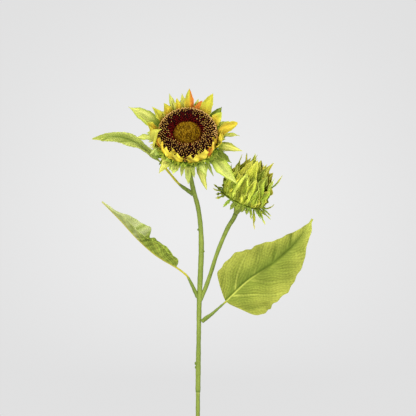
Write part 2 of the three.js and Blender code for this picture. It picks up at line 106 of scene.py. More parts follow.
LEAVES = {
    "right": Leaf(
        petiole=[
            (4.6, -1.6, 404.2, 2.0), (9.1, -3.4, 408.0, 2.3), (15.2, -5.6, 412.5, 1.6),
            (23.1, -7.8, 419.6, 1.1),
        ],
        rib=[
            (30.9, -9.5, 426.5), (54.0, -13.0, 448.5), (75.5, -15.0, 463.5), (100.5, -15.5, 484.5),
            (117.0, -12.5, 503.0), (125.5, -9.0, 516.7),
        ],
        faces=[(-0.05, -0.96, 0.26), (0.1, -0.99, 0.1)],
        half_widths=(32.3, 40), belly=(0.6, 0.6), taper=(1.52, 1.4), fold=(8, 14), ruffle=(2.2, 3.5),
        tints={
            "rib": 0x66782A, "blade": 0x848F36, "margin": 0x9CA042, "vein": 0xC4C85A,
            "crease": 0x4C5E18, "back": 0x9AA456, "tip": 0xB6BA52,
        },
        sleeve=0.85, contrast=1.3, teeth=0.02,
        swells=(
            (0, 0.05, -0.32, -0.32), (0.12, 0.06, 0.1, 0.17), (0.42, 0.08, -0.05, -0.05),
            (0.82, 0.1, 0.2, -0.08), (0.93, 0.06, 0.6, 0.35),
        ),
    ),
    "lower_left": Leaf(
        petiole=[
            (-0.6, -1.0, 430.5, 1.6), (-3.4, -2.2, 437.5, 2.0), (-8.4, -3.6, 448.0, 1.5),
            (-12.0, -4.4, 454.3, 1.0), (-18.0, -5.4, 459.5, 0.9),
        ],
        rib=[
            (-24.1, -6.0, 463.9), (-46.2, -8.0, 477.4), (-66.7, -9.0, 495.8), (-84.8, -8.0, 515.5),
            (-105.0, -5.0, 535.9),
        ],
        faces=[(0.5, -0.1, 0.86), (0.62, -0.3, 0.72)],
        half_widths=(21, 19), belly=(0.34, 0.6), taper=(0.95, 0.95), fold=(46, 38), ruffle=(1.8, 2.5),
        tints={
            "rib": 0x8E9A36, "blade": 0x8C9E3C, "margin": 0x90A03E, "vein": 0xC6BC50,
            "crease": 0x4A5C1A, "back": 0x92A23E, "tip": 0xC0C68A,
        },
        quilt=0.9, wrinkles=0.45, contrast=2.3, slim=0.7, notch=0.42,
    ),
    "upper_left": Leaf(
        petiole=[
            (-5.4, 0.6, 543.6, 1.7), (-10.2, 1.4, 547.4, 2.0), (-17.2, 2.2, 552.3, 1.5),
            (-21.4, 2.6, 555.8, 0.95), (-32.3, 3.2, 568.5, 0.9),
        ],
        rib=[
            (-41.0, 3.0, 579.2), (-53.0, 1.5, 589.8), (-66.0, 0.0, 600.0), (-84.0, -1.5, 606.6),
            (-100.0, -2.5, 607.4), (-116.0, -3.5, 604.8),
        ],
        faces=[(0.55, -0.28, 0.79), (-0.15, -0.45, 0.88)],
        half_widths=(14.8, 14.8), belly=(0.8, 0.8), taper=(0.6, 0.6), fold=(8, -6), ruffle=(1.4, 2.5),
        tints={
            "rib": 0x8A9A3C, "blade": 0x98A646, "margin": 0xBCC462, "vein": 0xC4C860,
            "crease": 0x5E7228, "back": 0xB8C05C, "tip": 0xB0B850,
        },
        coat=0.35, contrast=1.5, teeth=0.005, slim=0.8,
    ),
}
RIB_RADIUS = 1
PETIOLE_END_RADIUS = 0.85
PETIOLE_OVERLAP = 0.4

# Petals are rows of bearing, length, width, lift at the root, lift at the tip and sideways turn at the tip.
RAYS = [
    (88, 29, 11, 74, 30, 0), (72, 18, 8, 72, 30, -38), (58, 30, 13, 72, 28, -6),
    (31, 20, 13, 76, 34, 4), (3, 31, 12, 78, 10, 16), (-14, 18, 13, 60, 84, 4),
    (-34, 17, 13, 82, 94, -4), (-55, 15, 13, 82, 100, -6), (-76, 12, 12, 82, 104, -8),
    (-112, 14, 12, 82, 100, 8), (-131, 16, 13, 82, 104, 0), (-150, 16, 12, 82, 100, 0),
    (-168, 14, 11, 80, 84, 0), (173, 23, 11, 76, 44, 8), (144, 25, 10, 75, 32, 4),
    (126, 20, 12, 74, 44, 6), (106, 20, 8, 74, 40, 2),
]
INNER_BRACTS = [
    (152, 41, 17, 30, 2, -2), (134, 15, 8, 42, 20, 3), (113, 25, 7.5, 54, 36, 0),
    (97, 22, 7, 52, 34, 2), (76, 17, 7, 50, 30, 0), (42, 20, 10, 46, 22, 4), (22, 16, 8, 40, 16, 0),
    (5, 23, 5, 22, -22, -4), (-166, 31, 14, 48, 152, 0), (178, 22, 9, 8, -14, -10),
]
MIDDLE_BRACTS = [
    (0, 10, 6, 4, 0, 6), (-12, 30, 9.5, 6, -26, 2), (-28, 24, 8.5, -8, -32, -4),
    (-40, 44, 14, -18, -42, 3), (-64, 18, 8, -12, -40, 0), (-112, 14, 9, -28, -48, 6),
    (-128, 20, 8, -10, -40, -6), (-150, 13, 9, -4, -40, -6), (166, 15, 9, -2, -24, 6),
    (137, 20, 10, -2, -26, 0), (108, 18, 9, 2, -20, 4), (82, 20, 10, 0, -22, -5),
    (52, 18, 9, -4, -24, 0), (26, 19, 10, 0, -26, 5),
]
OUTER_BRACTS = [
    (-67, 36, 9, -36, -62, 6), (-50, 26, 4, -40, -62, 0), (-80, 20, 4.5, -42, -66, 4),
    (-89, 26, 7, -40, -64, 0), (-100, 18, 4.5, -44, -60, 0), (-122, 15, 5, -34, -60, 0),
    (-142, 17, 6, -34, -56, 0), (-168, 21, 8, -30, -56, 4), (168, 24, 7, -32, -60, 0),
    (146, 21, 8, -30, -56, -4), (120, 25, 7, -34, -58, 5), (96, 22, 8, -32, -60, 0),
    (70, 25, 7, -30, -58, -5), (46, 22, 8, -34, -56, 0), (20, 24, 7, -32, -60, 4),
    (-8, 20, 6, -34, -58, 0), (-30, 20, 5, -38, -60, 0),
]
BUD_SEPALS = [
    (4, 17, 3.2, 0, 70, 8), (-14, 17, 3.4, -20, -6, 6), (-26, 19, 3, -36, -30, 4),
    (-34, 12, 3.4, -30, -40, 4), (-46, 23, 3, -50, -62, 0), (-56, 13, 3.4, -46, -56, 0),
    (-68, 9, 4, -40, -60, 0), (-80, 8, 4.6, -40, -60, 0), (-94, 9, 4.6, -46, -62, 0),
    (-106, 11, 4, -46, -60, 0), (-122, 13, 3.6, -40, -60, 6), (-148, 12, 3.6, -26, -50, -4),
    (-168, 9, 4.4, -30, -44, -6), (174, 13, 3.4, -6, 24, -8), (152, 12, 3.4, -14, -30, 0),
    (130, 14, 3.8, -24, -44, 4), (106, 12, 3.4, -30, -50, 0), (84, 15, 4, -20, -40, -5),
    (56, 35, 3.4, 70, 52, 0), (38, 42, 3, 70, 52, -10), (22, 14, 3.8, -16, -34, 4),
]
TIP_HALF_WIDTH = 0.35
LAYER_THICKNESS = 0.95
CLOTH_THICKNESS = 0.4
ROOT_SINK = 0.6
# The share of its length where a petal is widest.
WIDEST = 0.4
POST_RADIUS = 6
POST_CLEARANCE = 0.35
WASHER_SIDES = 72

# Turned pieces: rows of radius and height along the flower's axis.
SEED_RING = [
    (15.6, 0), (30.2, 0), (31.4, 4), (31.5, 8), (30.2, 12.2), (27.2, 15.2), (23.4, 16.2), (19.5, 15),
    (16.8, 12.4), (15.6, 9.5),
]
DISC_CENTRE = [(0.01, 0), (15.2, 0), (15.2, 9.2), (13.5, 10.6), (9, 11.6), (4, 11.9), (0.01, 12)]
CALYX_CUP = [
    (0.01, -16), (4.2, -16), (5, -13.5), (7.5, -11), (13, -8.8), (20, -7.4), (26, -6.2), (26, -5.6),
    (0.01, -5.6),
]
BUD_CORE = [(0.01, 0.9), (10, 0.9), (12.4, 8), (12.6, 18), (10.5, 27), (6.5, 33), (0.01, 36)]
BUD_CUP = [
    (0.01, -20), (2.7, -20), (3.3, -17), (4.9, -13.5), (7.2, -10.5), (9.6, -8.2), (14, -5.6), (19, -3.9),
    (19, -3.35), (0.01, -3.35),
]


# Numbers, directions and colours


def scatter(k):
    """A repeatable number from 0 to 1 for a whole number, by the rule that the solids use."""
    s = math.sin(k * 12.9898 + 4.1) * 43758.5453
    return s - math.floor(s)


def scatters(first, kinds, count):
    """Rows of such numbers, one row for each kind."""
    return np.array([scatter(first + i) for i in range(kinds * count)]).reshape(kinds, count)


def mix(a, b, share):
    return a + (b - a) * share


def fade(low, high, x):
    """0 up to low, 1 from high on, and smooth between them. It falls instead where low is above high."""
    share = np.clip((x - low) / (high - low), 0, 1)
    return share * share * (3 - 2 * share)


def bump_at(x, middle, width):
    """1 at the middle, and falling smoothly to 0 about twice the width away."""
    return np.exp(-(((x - middle) / width) ** 2))


def zigzag(x):
    """A wave of straight lines from -1 to 1, once a turn."""
    return np.arcsin(np.sin(TURN * x)) / (TURN / 4)


def unit(v):
    return v / np.linalg.norm(v, axis=-1, keepdims=True)


def colour(code):
    """The linear colour of a hexadecimal screen colour."""
    channels = np.array([code >> 16 & 255, code >> 8 & 255, code & 255]) / 255
    return np.where(channels <= 0.04045, channels / 12.92, ((channels + 0.055) / 1.055) ** 2.4)


def blend(a, b, share):
    """From colour a to colour b, point by point."""
    share = np.asarray(share)[..., None]
    return a * (1 - share) + b * share


def coated(tints, *coats):
    """The tints under coats, each a colour and how much of it there is at each point."""
    for shade, share in coats:
        tints = blend(tints, shade, share)
    return tints


# Curves, worked out as the solids' curves are


def spline(points, t):
    """Points of a centripetal Catmull-Rom curve, with its given points evenly spread over t from 0 to 1."""
    p = np.asarray(points, float)
    p = np.vstack([2 * p[0] - p[1], p, 2 * p[-1] - p[-2]])
    along = np.clip(t, 0, 1) * (len(p) - 3)
    span = np.minimum(along.astype(int), len(p) - 4)
    w = (along - span)[:, None]
    a, b, c, d = (p[span + i] for i in range(4))
    gap = np.sqrt(np.linalg.norm(np.diff(p, axis=0), axis=1))[:, None]
    before, here, after = (gap[span + i] for i in range(3))
    leaving = ((b - a) / before - (c - a) / (before + here) + (c - b) / here) * here
    arriving = ((c - b) / here - (d - b) / (here + after) + (d - c) / after) * here
    squared = -3 * b + 3 * c - 2 * leaving - arriving
    cubed = 2 * b - 2 * c + leaving + arriving
    return b + leaving * w + squared * w**2 + cubed * w**3


def heading(points, t):
    """Unit directions of that curve."""
    step = 1e-4
    return unit(spline(points, t + step) - spline(points, t - step))


def step_lengths(points):
    return np.linalg.norm(np.diff(points, axis=0), axis=1)


def by_length(points, share):
    """The curve's t at shares of its length."""
    fine = np.linspace(0, 1, 201)
    lengths = np.concatenate([[0], np.cumsum(step_lengths(spline(points, fine)))])
    return np.interp(share * lengths[-1], lengths, fine), lengths[-1]


def at_shares(share, rows, column):
    """One column of a table at shares of the way down its rows."""
    return np.interp(share, np.linspace(0, 1, len(rows)), rows[:, column])


# Bodies and pieces

NO_TRIS = np.zeros((0, 3), int)
SHARP_ANGLE = 50


@dataclass
class Body:
    """One closed body in millimetres, with a colour and a place on the cloth for each point."""

    points: np.ndarray
    quads: np.ndarray
    tris: np.ndarray
    tint: np.ndarray
    weave: np.ndarray = None


def grid_quads(rows, columns):
    """Quads of a grid of points. They face along the columns' direction crossed with the rows'."""
    i, j = np.meshgrid(np.arange(rows - 1), np.arange(columns - 1), indexing="ij")
    corner = (i * columns + j).ravel()
    return np.stack([corner, corner + 1, corner + columns + 1, corner + columns], axis=1)


def ring_numbers(rings, sides):
    """The point numbers of rings, each closed by its first point."""
    number = np.arange(rings * sides).reshape(rings, sides)
    return np.concatenate([number, number[:, :1]], axis=1)


def strip(a, b):
    """Quads between two lines of point numbers."""
    return np.stack([a[:-1], a[1:], b[1:], b[:-1]], axis=1)


def shell(top, back, tint_top, tint_back, weave):
    """A thin sheet between two grids of points, closed round its edge."""
    rows, columns = top.shape[:2]
    face = grid_quads(rows, columns)
    count = rows * columns
    number = np.arange(count).reshape(rows, columns)
    rims = [
        strip(number[:, 0], number[:, 0] + count),
        strip(number[:, -1] + count, number[:, -1]),
        strip(number[0, ::-1], number[0, ::-1] + count),
        strip(number[-1, ::-1] + count, number[-1, ::-1]),
    ]
    points = np.vstack([top.reshape(-1, 3), back.reshape(-1, 3)])
    tints = np.vstack([tint_top.reshape(-1, 3), tint_back.reshape(-1, 3)])
    quads = np.vstack([face, face[:, ::-1] + count, *rims])
    return Body(points, quads, NO_TRIS, tints, np.tile(weave.reshape(-1, 2), (2, 1)))


def rolled(rings, tint):
    """A body from rings of points round a line, closed by a fan at each end.

    It faces out where rings run clockwise seen from its start.
    """
    steps, sides = rings.shape[:2]
    number = ring_numbers(steps, sides)
    quads = np.vstack([strip(number[i + 1], number[i]) for i in range(steps - 1)])
    first, last = (np.full(sides, steps * sides + i) for i in range(2))
    fans = [
        np.stack([first, number[0, :-1], number[0, 1:]], axis=1),
        np.stack([last, number[-1, 1:], number[-1, :-1]], axis=1),
    ]
    points = np.vstack([rings.reshape(-1, 3), rings[0].mean(axis=0), rings[-1].mean(axis=0)])
    return Body(points, quads, np.vstack(fans), np.vstack([tint.reshape(-1, 3), tint[0, 0], tint[-1, 0]]))


def facing_out(body):
    """The body with its faces turned if they point in."""
    volume = 0
    for faces in (body.quads[:, :3], body.quads[:, [0, 2, 3]], body.tris):
        a, b, c = (body.points[faces[:, i]] for i in range(3))
        volume += np.einsum("ij,ij->i", a, np.cross(b, c)).sum()
    if volume < 0:
        body.quads = body.quads[:, ::-1]
        body.tris = body.tris[:, ::-1]
    return body


def stamped(template, places, ahead, size, length, tint):
    """Many copies of a small upright body as one, each at its place, standing along its own direction."""
    across = unit(np.cross(ahead, np.array([0.31, 0.87, 0.38])))
    beside = np.cross(ahead, across)
    p = template.points
    points = places[:, None]
    for direction, axis, scale in ((across, 0, size), (beside, 1, size), (ahead, 2, length)):
        points = points + direction[:, None] * (p[None, :, axis, None] * scale[:, None, None])
    starts = (np.arange(len(places)) * len(p))[:, None, None]
    quads = (template.quads[None] + starts).reshape(-1, 4)
    tris = (template.tris[None] + starts).reshape(-1, 3)
    return Body(points.reshape(-1, 3), quads, tris, np.repeat(tint, len(p), axis=0))


def post(rings, sides):
    """A small upright body from rows of height and radius, as a template."""
    heights, radii = np.array(rings).T[:, :, None]
    rows = ground.at(np.arange(sides) / sides * TURN, radii, heights)
    return facing_out(rolled(rows, np.ones(rows.shape)))


def floats(values):
    return np.asarray(values, np.float32).ravel()


def placed(name, data):
    """A new object in the scene."""
    made = bpy.data.objects.new(name, data)
    bpy.context.scene.collection.objects.link(made)
    return made


def piece(name, bodies, material, slot, *nodes):
    """Joins bodies into one piece of the spray, which rides on the part and stands for its CAD nodes."""
    faces, start = [], 0
    for body in bodies:
        faces += (body.quads + start).tolist() + (body.tris + start).tolist()
        start += len(body.points)
    mesh = bpy.data.meshes.new(name)
    mesh.from_pydata(np.vstack([b.points for b in bodies]) * MM, [], faces)
    mesh.materials.append(material)
    mesh.polygons.foreach_set("use_smooth", np.ones(len(faces), bool))
    mesh.set_sharp_from_angle(angle=math.radians(SHARP_ANGLE))
    tints = np.vstack([b.tint for b in bodies])
    stored = mesh.color_attributes.new(name="tint", type="FLOAT_COLOR", domain="POINT")
    stored.data.foreach_set("color", floats(np.hstack([tints, np.ones((len(tints), 1))])))
    weave = np.vstack([b.points[:, :2] if b.weave is None else b.weave for b in bodies])
    mesh.uv_layers.new(name="weave").data.foreach_set("uv", floats(weave[np.concatenate(faces)] * MM))
    made = placed(name, mesh)
    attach(made, "root")
    if nodes:
        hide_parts(*nodes)


# Materials


def feed(tree, node, inputs):
    """Links or sets a node's inputs."""
    for name, value in inputs.items():
        if isinstance(value, bpy.types.NodeSocket):
            tree.links.new(value, node.inputs[name])
        else:
            node.inputs[name].default_value = value


def add(tree, kind, output, inputs=None, **settings):
    """One output of a new shader node with these settings and inputs."""
    node = tree.nodes.new("ShaderNode" + kind)
    for name, value in settings.items():
        setattr(node, name, value)
    feed(tree, node, inputs or {})
    return node.outputs[output]


def reckon(tree, operation, *values):
    return add(tree, "Math", "Value", dict(enumerate(values)), operation=operation)


def ranged(tree, value, low, high, start=0.3, end=0.7, **settings):
    """The value spread from low to high, where it goes from start to end itself."""
    inputs = {"Value": value, "From Min": start, "From Max": end, "To Min": low, "To Max": high}
    return add(tree, "MapRange", "Result", inputs, **settings)


def noise(tree, scale, detail, roughness=0.55):
    inputs = {"Scale": scale, "Detail": detail, "Roughness": roughness}
    return add(tree, "TexNoise", "Fac", {"Vector": add(tree, "TexCoord", "Object"), **inputs})


def woven(tree, pitch):
    """The height of a plain weave, from the cloth's own coordinates."""
    place = add(tree, "UVMap", "UV", uv_map="weave")
    along = (add(tree, "SeparateXYZ", axis, {"Vector": place}) for axis in "XY")
    waves = [reckon(tree, "SINE", reckon(tree, "MULTIPLY", far, TURN / (pitch * MM))) for far in along]
    return reckon(tree, "MULTIPLY", *waves)


def new_material(name, inputs_of):
    """A material. inputs_of gives its shader's inputs in its node tree."""
    made = bpy.data.materials.new(name)
    made.use_nodes = True
    feed(made.node_tree, made.node_tree.nodes["Principled BSDF"], inputs_of(made.node_tree))
    return made


def finish(name, mottle, grain, depth, roughness, rough_scale, specular, soft=0.0, pitch=None):
    """A material in its piece's own tints.

    mottle is the scale of its soft patches, and how dark and how light they are. grain is the scale and
    detail of its wrinkles, over a weave if it has a pitch. depth is in millimetres. roughness is a range.
    """

    def inputs_of(tree):
        scale, *levels = mottle
        tints = add(tree, "Attribute", "Color", attribute_name="tint")
        patches = ranged(tree, noise(tree, scale, 4.0, roughness=0.6), *levels)
        height = noise(tree, *grain)
        relief = {"Strength": 1.0, "Distance": depth * MM}
        if pitch:
            height = reckon(tree, "ADD", reckon(tree, "MULTIPLY", woven(tree, pitch), 0.25), height)
        return {
            "Base Color": add(tree, "VectorMath", "Vector", {0: tints, 1: patches}, operation="MULTIPLY"),
            "Normal": add(tree, "Bump", "Normal", {"Height": height, **relief}),
            "Roughness": ranged(tree, noise(tree, rough_scale, 2.0), *roughness),
            "Specular IOR Level": specular,
            "Subsurface Weight": soft,
            "Subsurface Radius": (0.8, 0.8, 0.4),
            "Subsurface Scale": 0.7 * MM,
        }

    return new_material(name, inputs_of)


def cloth(name, pitch=0.5, mottle=(0.88, 1.1), depth=0.14, soft=0.12):
    """Printed cloth: its colours come from the petals, over a fine weave and soft wrinkles."""
    return finish(name, (420, *mottle), (500, 3.0), depth, (0.62, 0.82), 300, 0.06, soft, pitch)


def coating(name):
    """Matte coloured coating over wire and moulded plastic, slightly grained."""
    return finish(name, (260, 0.9, 1.06), (900, 4.0), 0.12, (0.5, 0.68), 350, 0.2, soft=0.05)


def flock(name, mottle=(0.7, 1.25)):
    """Short fibres: rough, and lighter and darker from tuft to tuft."""
    return finish(name, (900, *mottle), (2500, 3.0), 0.2, (0.8, 0.95), 900, 0.05)


# Flowers: frames, turned pieces and petals


class Flower:
    """A frame round a flower or the ground: its axis, and the directions of bearing 0 and bearing 90."""

    def __init__(self, centre, axis, right):
        self.centre = np.array(centre, float)
        self.axis = np.array(axis)
        self.right = np.array(right)
        self.up = np.cross(self.axis, self.right)

    def outward(self, bearing):
        bearing = np.asarray(bearing)[..., None]
        return self.right * np.cos(bearing) + self.up * np.sin(bearing)

    def at(self, bearing, radius, height):
        radius, height = np.asarray(radius)[..., None], np.asarray(height)[..., None]
        return self.centre + self.outward(bearing) * radius + self.axis * height


ground = Flower((0, 0, 0), (0, 0, 1), (1, 0, 0))
tilt, lean, nod = (math.radians(angle) for angle in (HEAD_TILT, BUD_LEAN, BUD_NOD))
head = Flower(HEAD_CENTRE, (0, -math.cos(tilt), math.sin(tilt)), (1, 0, 0))
bud_axis = (math.sin(lean) * math.cos(nod), -math.sin(nod), math.cos(lean) * math.cos(nod))
bud = Flower(BUD_CENTRE, bud_axis, (math.cos(lean), 0, -math.sin(lean)))
# Steps between a profile's given points, and along the line that a petal is bent along.
PROFILE_STEPS = 6
PETAL_STEPS = 60


def turned(flower, profile, segments, tint_of, relief=None):
    """A turned piece with a smooth profile from axis to axis. relief gives how far its skin stands out."""
    rows = np.array(profile, float)
    spans = np.linspace(0, 1, PROFILE_STEPS * (len(rows) - 1) + 1)
    smooth = np.stack([at_shares(spans, rows, i) for i in range(2)], axis=1)
    for _ in range(PROFILE_STEPS // 2):
        smooth[1:-1] = (smooth[:-2] + 2 * smooth[1:-1] + smooth[2:]) / 4
    share, angle = np.meshgrid(spans, np.arange(segments) / segments * TURN, indexing="ij")
    radius, height = (np.repeat(smooth[:, [i]], segments, axis=1) for i in range(2))
    if relief is not None:
        radius = radius + relief(share, angle) * fade(0, 3, radius)
    return facing_out(rolled(flower.at(angle, radius, height), tint_of(share, angle)))


def closed_ring(flower, profile, segments, shade):
    """A turned ring from a closed profile of radius and height."""
    bearing = np.arange(segments) / segments * TURN
    points = np.vstack([flower.at(bearing, radius, height) for radius, height in profile])
    count = len(profile)
    number = ring_numbers(count, segments)
    quads = np.vstack([strip(number[i], number[(i + 1) % count]) for i in range(count)])
    return facing_out(Body(points, quads, NO_TRIS, np.tile(shade, (len(points), 1))))


def petal_outline(t, point):
    """The half width along a petal, with a sharper tip for a larger point."""
    rising = 0.6 + 0.4 * np.sin(TURN / 4 * t / WIDEST)
    falling = np.clip(np.cos(TURN / 4 * (t - WIDEST) / (1 - WIDEST)), 0, 1) ** point
    return np.where(t < WIDEST, rising, falling)


@dataclass
class Cloth:
    """How a layer's petals are shaped beyond their outline. Lengths in millimetres, angles in degrees."""

    cup: float = 0.1
    roll: float = 0.0
    crease: float = 0.4
    pleats: float = 0.12
    pleat_count: int = 4
    folds: float = 0.0
    fold_count: float = 1.6
    # contrast is painted fold shading: tints lighter on the ridges of the folds and darker in their
    # valleys.
    contrast: float = 0.12
    point: float = 0.8
    widen: float = 1.0
    lengthen: float = 1.0
    teeth: float = 0.0
    ruffle: float = 0.5
    ruffle_count: float = 2.0
    ragged: float = 0.05
    twist: float = 8.0
    curl: float = 12.0
    along: int = 30
    across: int = 12


def petal(flower, row, look, paint, height, rim, seed):
    """One petal by the solids' rule, with its crease, pleats, ruffles and curl."""
    bearing, length, width, root_lift, tip_lift, turn = row
    length = length * look.lengthen
    middles = (np.arange(PETAL_STEPS) + 0.5) / PETAL_STEPS

    def directions(t):
        curl = look.curl * (scatter(seed + 11) - 0.35) * fade(0.55, 1, t)
        lift = np.radians(mix(root_lift, tip_lift, t) + curl)[:, None]
        outward = flower.outward(np.radians(bearing + turn * t * t))
        ahead = outward * np.cos(lift) + flower.axis * np.sin(lift)
        upright = -outward * np.sin(lift) + flower.axis * np.cos(lift)
        twist = look.twist * (2 * scatter(seed + 12) - 1) * t**2
        roll = np.radians(look.roll + twist)[:, None]
        return ahead, upright * np.cos(roll) + np.cross(ahead, upright) * np.sin(roll)

    root = flower.at(math.radians(bearing), rim - ROOT_SINK, height)
    line = np.vstack([root, root + np.cumsum(directions(middles)[0] * (length / PETAL_STEPS), axis=0)])
    t = np.linspace(0, 1, look.along + 1)
    u = np.linspace(-1, 1, look.across + 1)
    tt, uu = np.meshgrid(t, u, indexing="ij")
    phase = TURN * scatter(seed + 13)

    # A torn petal ends in teeth: its lines stop short of the tip by different shares.
    torn = 0.5 + 0.5 * zigzag(uu + phase)
    tt = tt * (1 - look.teeth * torn)
    point = np.stack([at_shares(tt, line, i) for i in range(3)], axis=-1)
    ahead, face = (d.reshape(point.shape) for d in directions(tt.ravel()))
    side = np.cross(ahead, face)
    waver = np.sin(TURN * 3.3 * tt + phase + 2 * uu) + 0.6 * np.sin(TURN * 7.1 * tt + 2 * phase)
    half = np.maximum(width * look.widen / 2 * petal_outline(tt, look.point), TIP_HALF_WIDTH)
    half = half * (1 + look.ragged * waver * uu**2)
    body = np.minimum(half / (width / 2), 1)
    slant = 0.35 * (2 * scatter(seed + 14) - 1)
    folds = zigzag(look.fold_count * (uu / 2 + slant * tt) + phase)
    folds = folds + 0.45 * zigzag(1.7 * tt - 0.8 * uu + 2 * phase)
    wave = np.sin(TURN * (look.ruffle_count * tt + 0.3 * np.sign(uu)) + phase)
    rise = (
        look.cup * uu**2 * half
        + look.folds * folds * body * fade(0, 0.25, tt)
        - look.crease * bump_at(uu, 0, 0.22) * body
        + look.pleats * np.cos(TURN * look.pleat_count / 2 * uu + phase) * (1 - uu**2) * body
        + look.ruffle * wave * uu**2 * np.sin(math.pi * tt)
    )
    middle = point + side * (uu * half)[..., None] + face * rise[..., None]
    lift = face * (CLOTH_THICKNESS / 2 * (1 - 0.5 * uu**6))[..., None]
    weave = np.stack([uu * half, tt * length], axis=-1)
    tint_top, tint_back = paint(row, seed, tt, uu)
    # Painted shading of the folds: the top face lighter on the ridges and darker in the valleys, the back
    # the other way round.
    fold_shading = (look.contrast * np.clip(folds, -1.2, 1.2) * fade(0, 0.2, tt))[..., None]
    return shell(middle + lift, middle - lift, tint_top * (1 + fold_shading), tint_back * (1 - fold_shading), weave)


def petals(flower, rows, look, paint, height, rim, seed):
    """Petals round a flower. look is their cloth, or a dict of it by row.

    paint gives a petal's two tints for its row, its seed, and t and u along and across it.
    """
    looks = look if isinstance(look, dict) else dict.fromkeys(rows, look)
    return [petal(flower, row, looks[row], paint, height, rim, seed + 20 * i) for i, row in enumerate(rows)]


def whorl(flower, rows, look, paint, shade, top, rim, seed):
    """A stamped layer of petals, with its flat ring round the post, dark as painted shade in the crevice.
    """
    bottom = top - LAYER_THICKNESS
    inner = POST_RADIUS + POST_CLEARANCE
    profile = [(inner, bottom), (rim, bottom), (rim, top), (inner, top)]
    washer = closed_ring(flower, profile, WASHER_SIDES, shade)
    return [washer, *petals(flower, rows, look, paint, top - LAYER_THICKNESS / 2, rim, seed)]


# Colours of the petals

RAY_GOLD = colour(0xBE9A18)
RAY_YELLOW = colour(0xEED23A)
RAY_PALE = colour(0xF6E660)
RAY_GREEN = colour(0xB8C042)
RAY_WARM = colour(0xD0B034)
RAY_ORANGE = colour(0xD46E2C)
BRACT_PALE = colour(0xD4D674)
BRACT_GREEN = colour(0xBAC44A)
BRACT_EDGE = colour(0x8CA032)
# Dark bract green serves mostly as painted shade: at bract roots, on bracts in shadow, on washers and
# shreds.
BRACT_DARK = colour(0x4A6C14)
BUD_LIGHT = colour(0xDEDC64)
BUD_YELLOW = colour(0xCACA42)
BUD_OLIVE = colour(0x8E9E2C)
BUD_SHADOW = colour(0x4C6208)
SEPAL_GREEN = colour(0x9AAC3C)
SEPAL_YELLOW = colour(0xD2CF56)
STEM_GREEN = colour(0x80903A)
STEM_LIGHT = colour(0x929E44)
STEM_DARK = colour(0x687C2E)
WIRE_YELLOW = colour(0xBEB632)

# Petals that differ from the rest of their layer, by bearing. BLUSH is the part of a ray that is printed
# orange, from u to u across it, where -1 is its left edge if it stands upright.
BLUSH = {88: (0.2, 1.6), 72: (-1.6, 1.6), -34: (0.45, 1.4), -168: (-1.4, -0.1)}
GREEN_RAYS = (58, 144)
BLUNT_RAYS = (3,)
YELLOW_RAYS = (173,)
# Bracts painted dark as painted shadow, where shadow falls on them.
SHADOWED_BRACTS = (42, -28, -150, -142)
# A bract painted darker, as painted shade against the key lamp that lights it brightly.
DIMMED_BRACTS = (152,)
# The tip lift from which a petal stands up, and the length under which a sepal is as green as the stem.
UPRIGHT_LIFT = 80
SHORT_SEPAL = 12


def vary(tints, seed, amount=0.07):
    """The same tints a little lighter or darker, and warmer or cooler, for one petal."""
    shift = 1 + amount * (2 * scatter(seed + 1) - 1)
    warm = amount * (2 * scatter(seed + 2) - 1)
    return tints * shift * np.array([1 + warm, 1, 1 - warm])


def is_upright(row):
    return row[4] > UPRIGHT_LIFT


def ray_paint(row, seed, t, u):
    bearing = row[0]
    if is_upright(row):
        middle = (RAY_PALE, 0.5 * bump_at(u, 0.2, 0.6))
        tints = coated(RAY_YELLOW, middle, (RAY_GOLD, 0.6 * fade(0.45, 0.0, t)))
    else:
        yellow = 0.2 if bearing in BLUNT_RAYS else 0.9 if bearing in YELLOW_RAYS else 0.6
        green = 0.15 if bearing in BLUNT_RAYS else 0.5 + 0.4 * scatter(seed + 5)
        start = 0.1 if bearing in GREEN_RAYS else 0.4
        tints = coated(
            RAY_GOLD,
            (RAY_WARM, fade(0.0, 0.4, t)),
            (RAY_YELLOW, yellow * bump_at(u, 0.3, 0.5) * fade(0.2, 0.6, t)),
            (RAY_GREEN, green * fade(start, start + 0.5, t)),
            (RAY_GREEN, 0.6 * fade(0.6, 1.0, abs(u))),
            (BRACT_EDGE, 0.3 * bump_at(u, 0, 0.1) * fade(1.0, 0.4, t)),
        )
    if bearing in BLUSH:
        low, high = BLUSH[bearing]
        share = fade(low - 0.35, low + 0.35, u) * fade(high + 0.35, high - 0.35, u)
        tints = blend(tints, RAY_ORANGE, 0.85 * share)
    back = tints if is_upright(row) else blend(tints, RAY_GREEN, 0.3 * fade(0.8, 0.1, t))
    return vary(tints, seed), vary(back, seed)


def bract_paint(row, seed, t, u):
    streaks = fade(0.2, 1.0, np.cos(TURN * (1.6 * u + scatter(seed + 3))))
    tints = coated(
        BRACT_GREEN,
        (BRACT_PALE, bump_at(u, 0.1, 0.7) * fade(0.05, 0.45, t)),
        (BRACT_EDGE, 0.65 * fade(0.72, 1.0, abs(u))),
        (BRACT_EDGE, 0.5 * bump_at(u, 0, 0.1) * fade(0.9, 0.5, t)),
        (BRACT_EDGE, 0.35 * streaks * fade(0.95, 0.5, t)),
        # Painted shade near the root, where the bracts lie under the ring.
        (BRACT_DARK, 0.85 * fade(0.42, 0.0, t)),
        (BRACT_GREEN, 0.5 * fade(0.85, 1.0, t)),
        # Painted shadow over the bracts that lie in shade.
        (BRACT_DARK, 0.75 * (row[0] in SHADOWED_BRACTS)),
    )
    # Painted shade that tones down the lamp's light on this bract.
    if row[0] in DIMMED_BRACTS:
        tints = tints * 0.85
    if is_upright(row):
        blush = 0.8 * fade(0.3, 0.8, u) * bump_at(t, 0.45, 0.12)
        tints = coated(tints, (RAY_GREEN, 0.65), (RAY_WARM, 0.35), (RAY_ORANGE, blush))
    back = tints if is_upright(row) else blend(tints, BRACT_EDGE, 0.45)
    return vary(tints, seed), vary(back, seed)


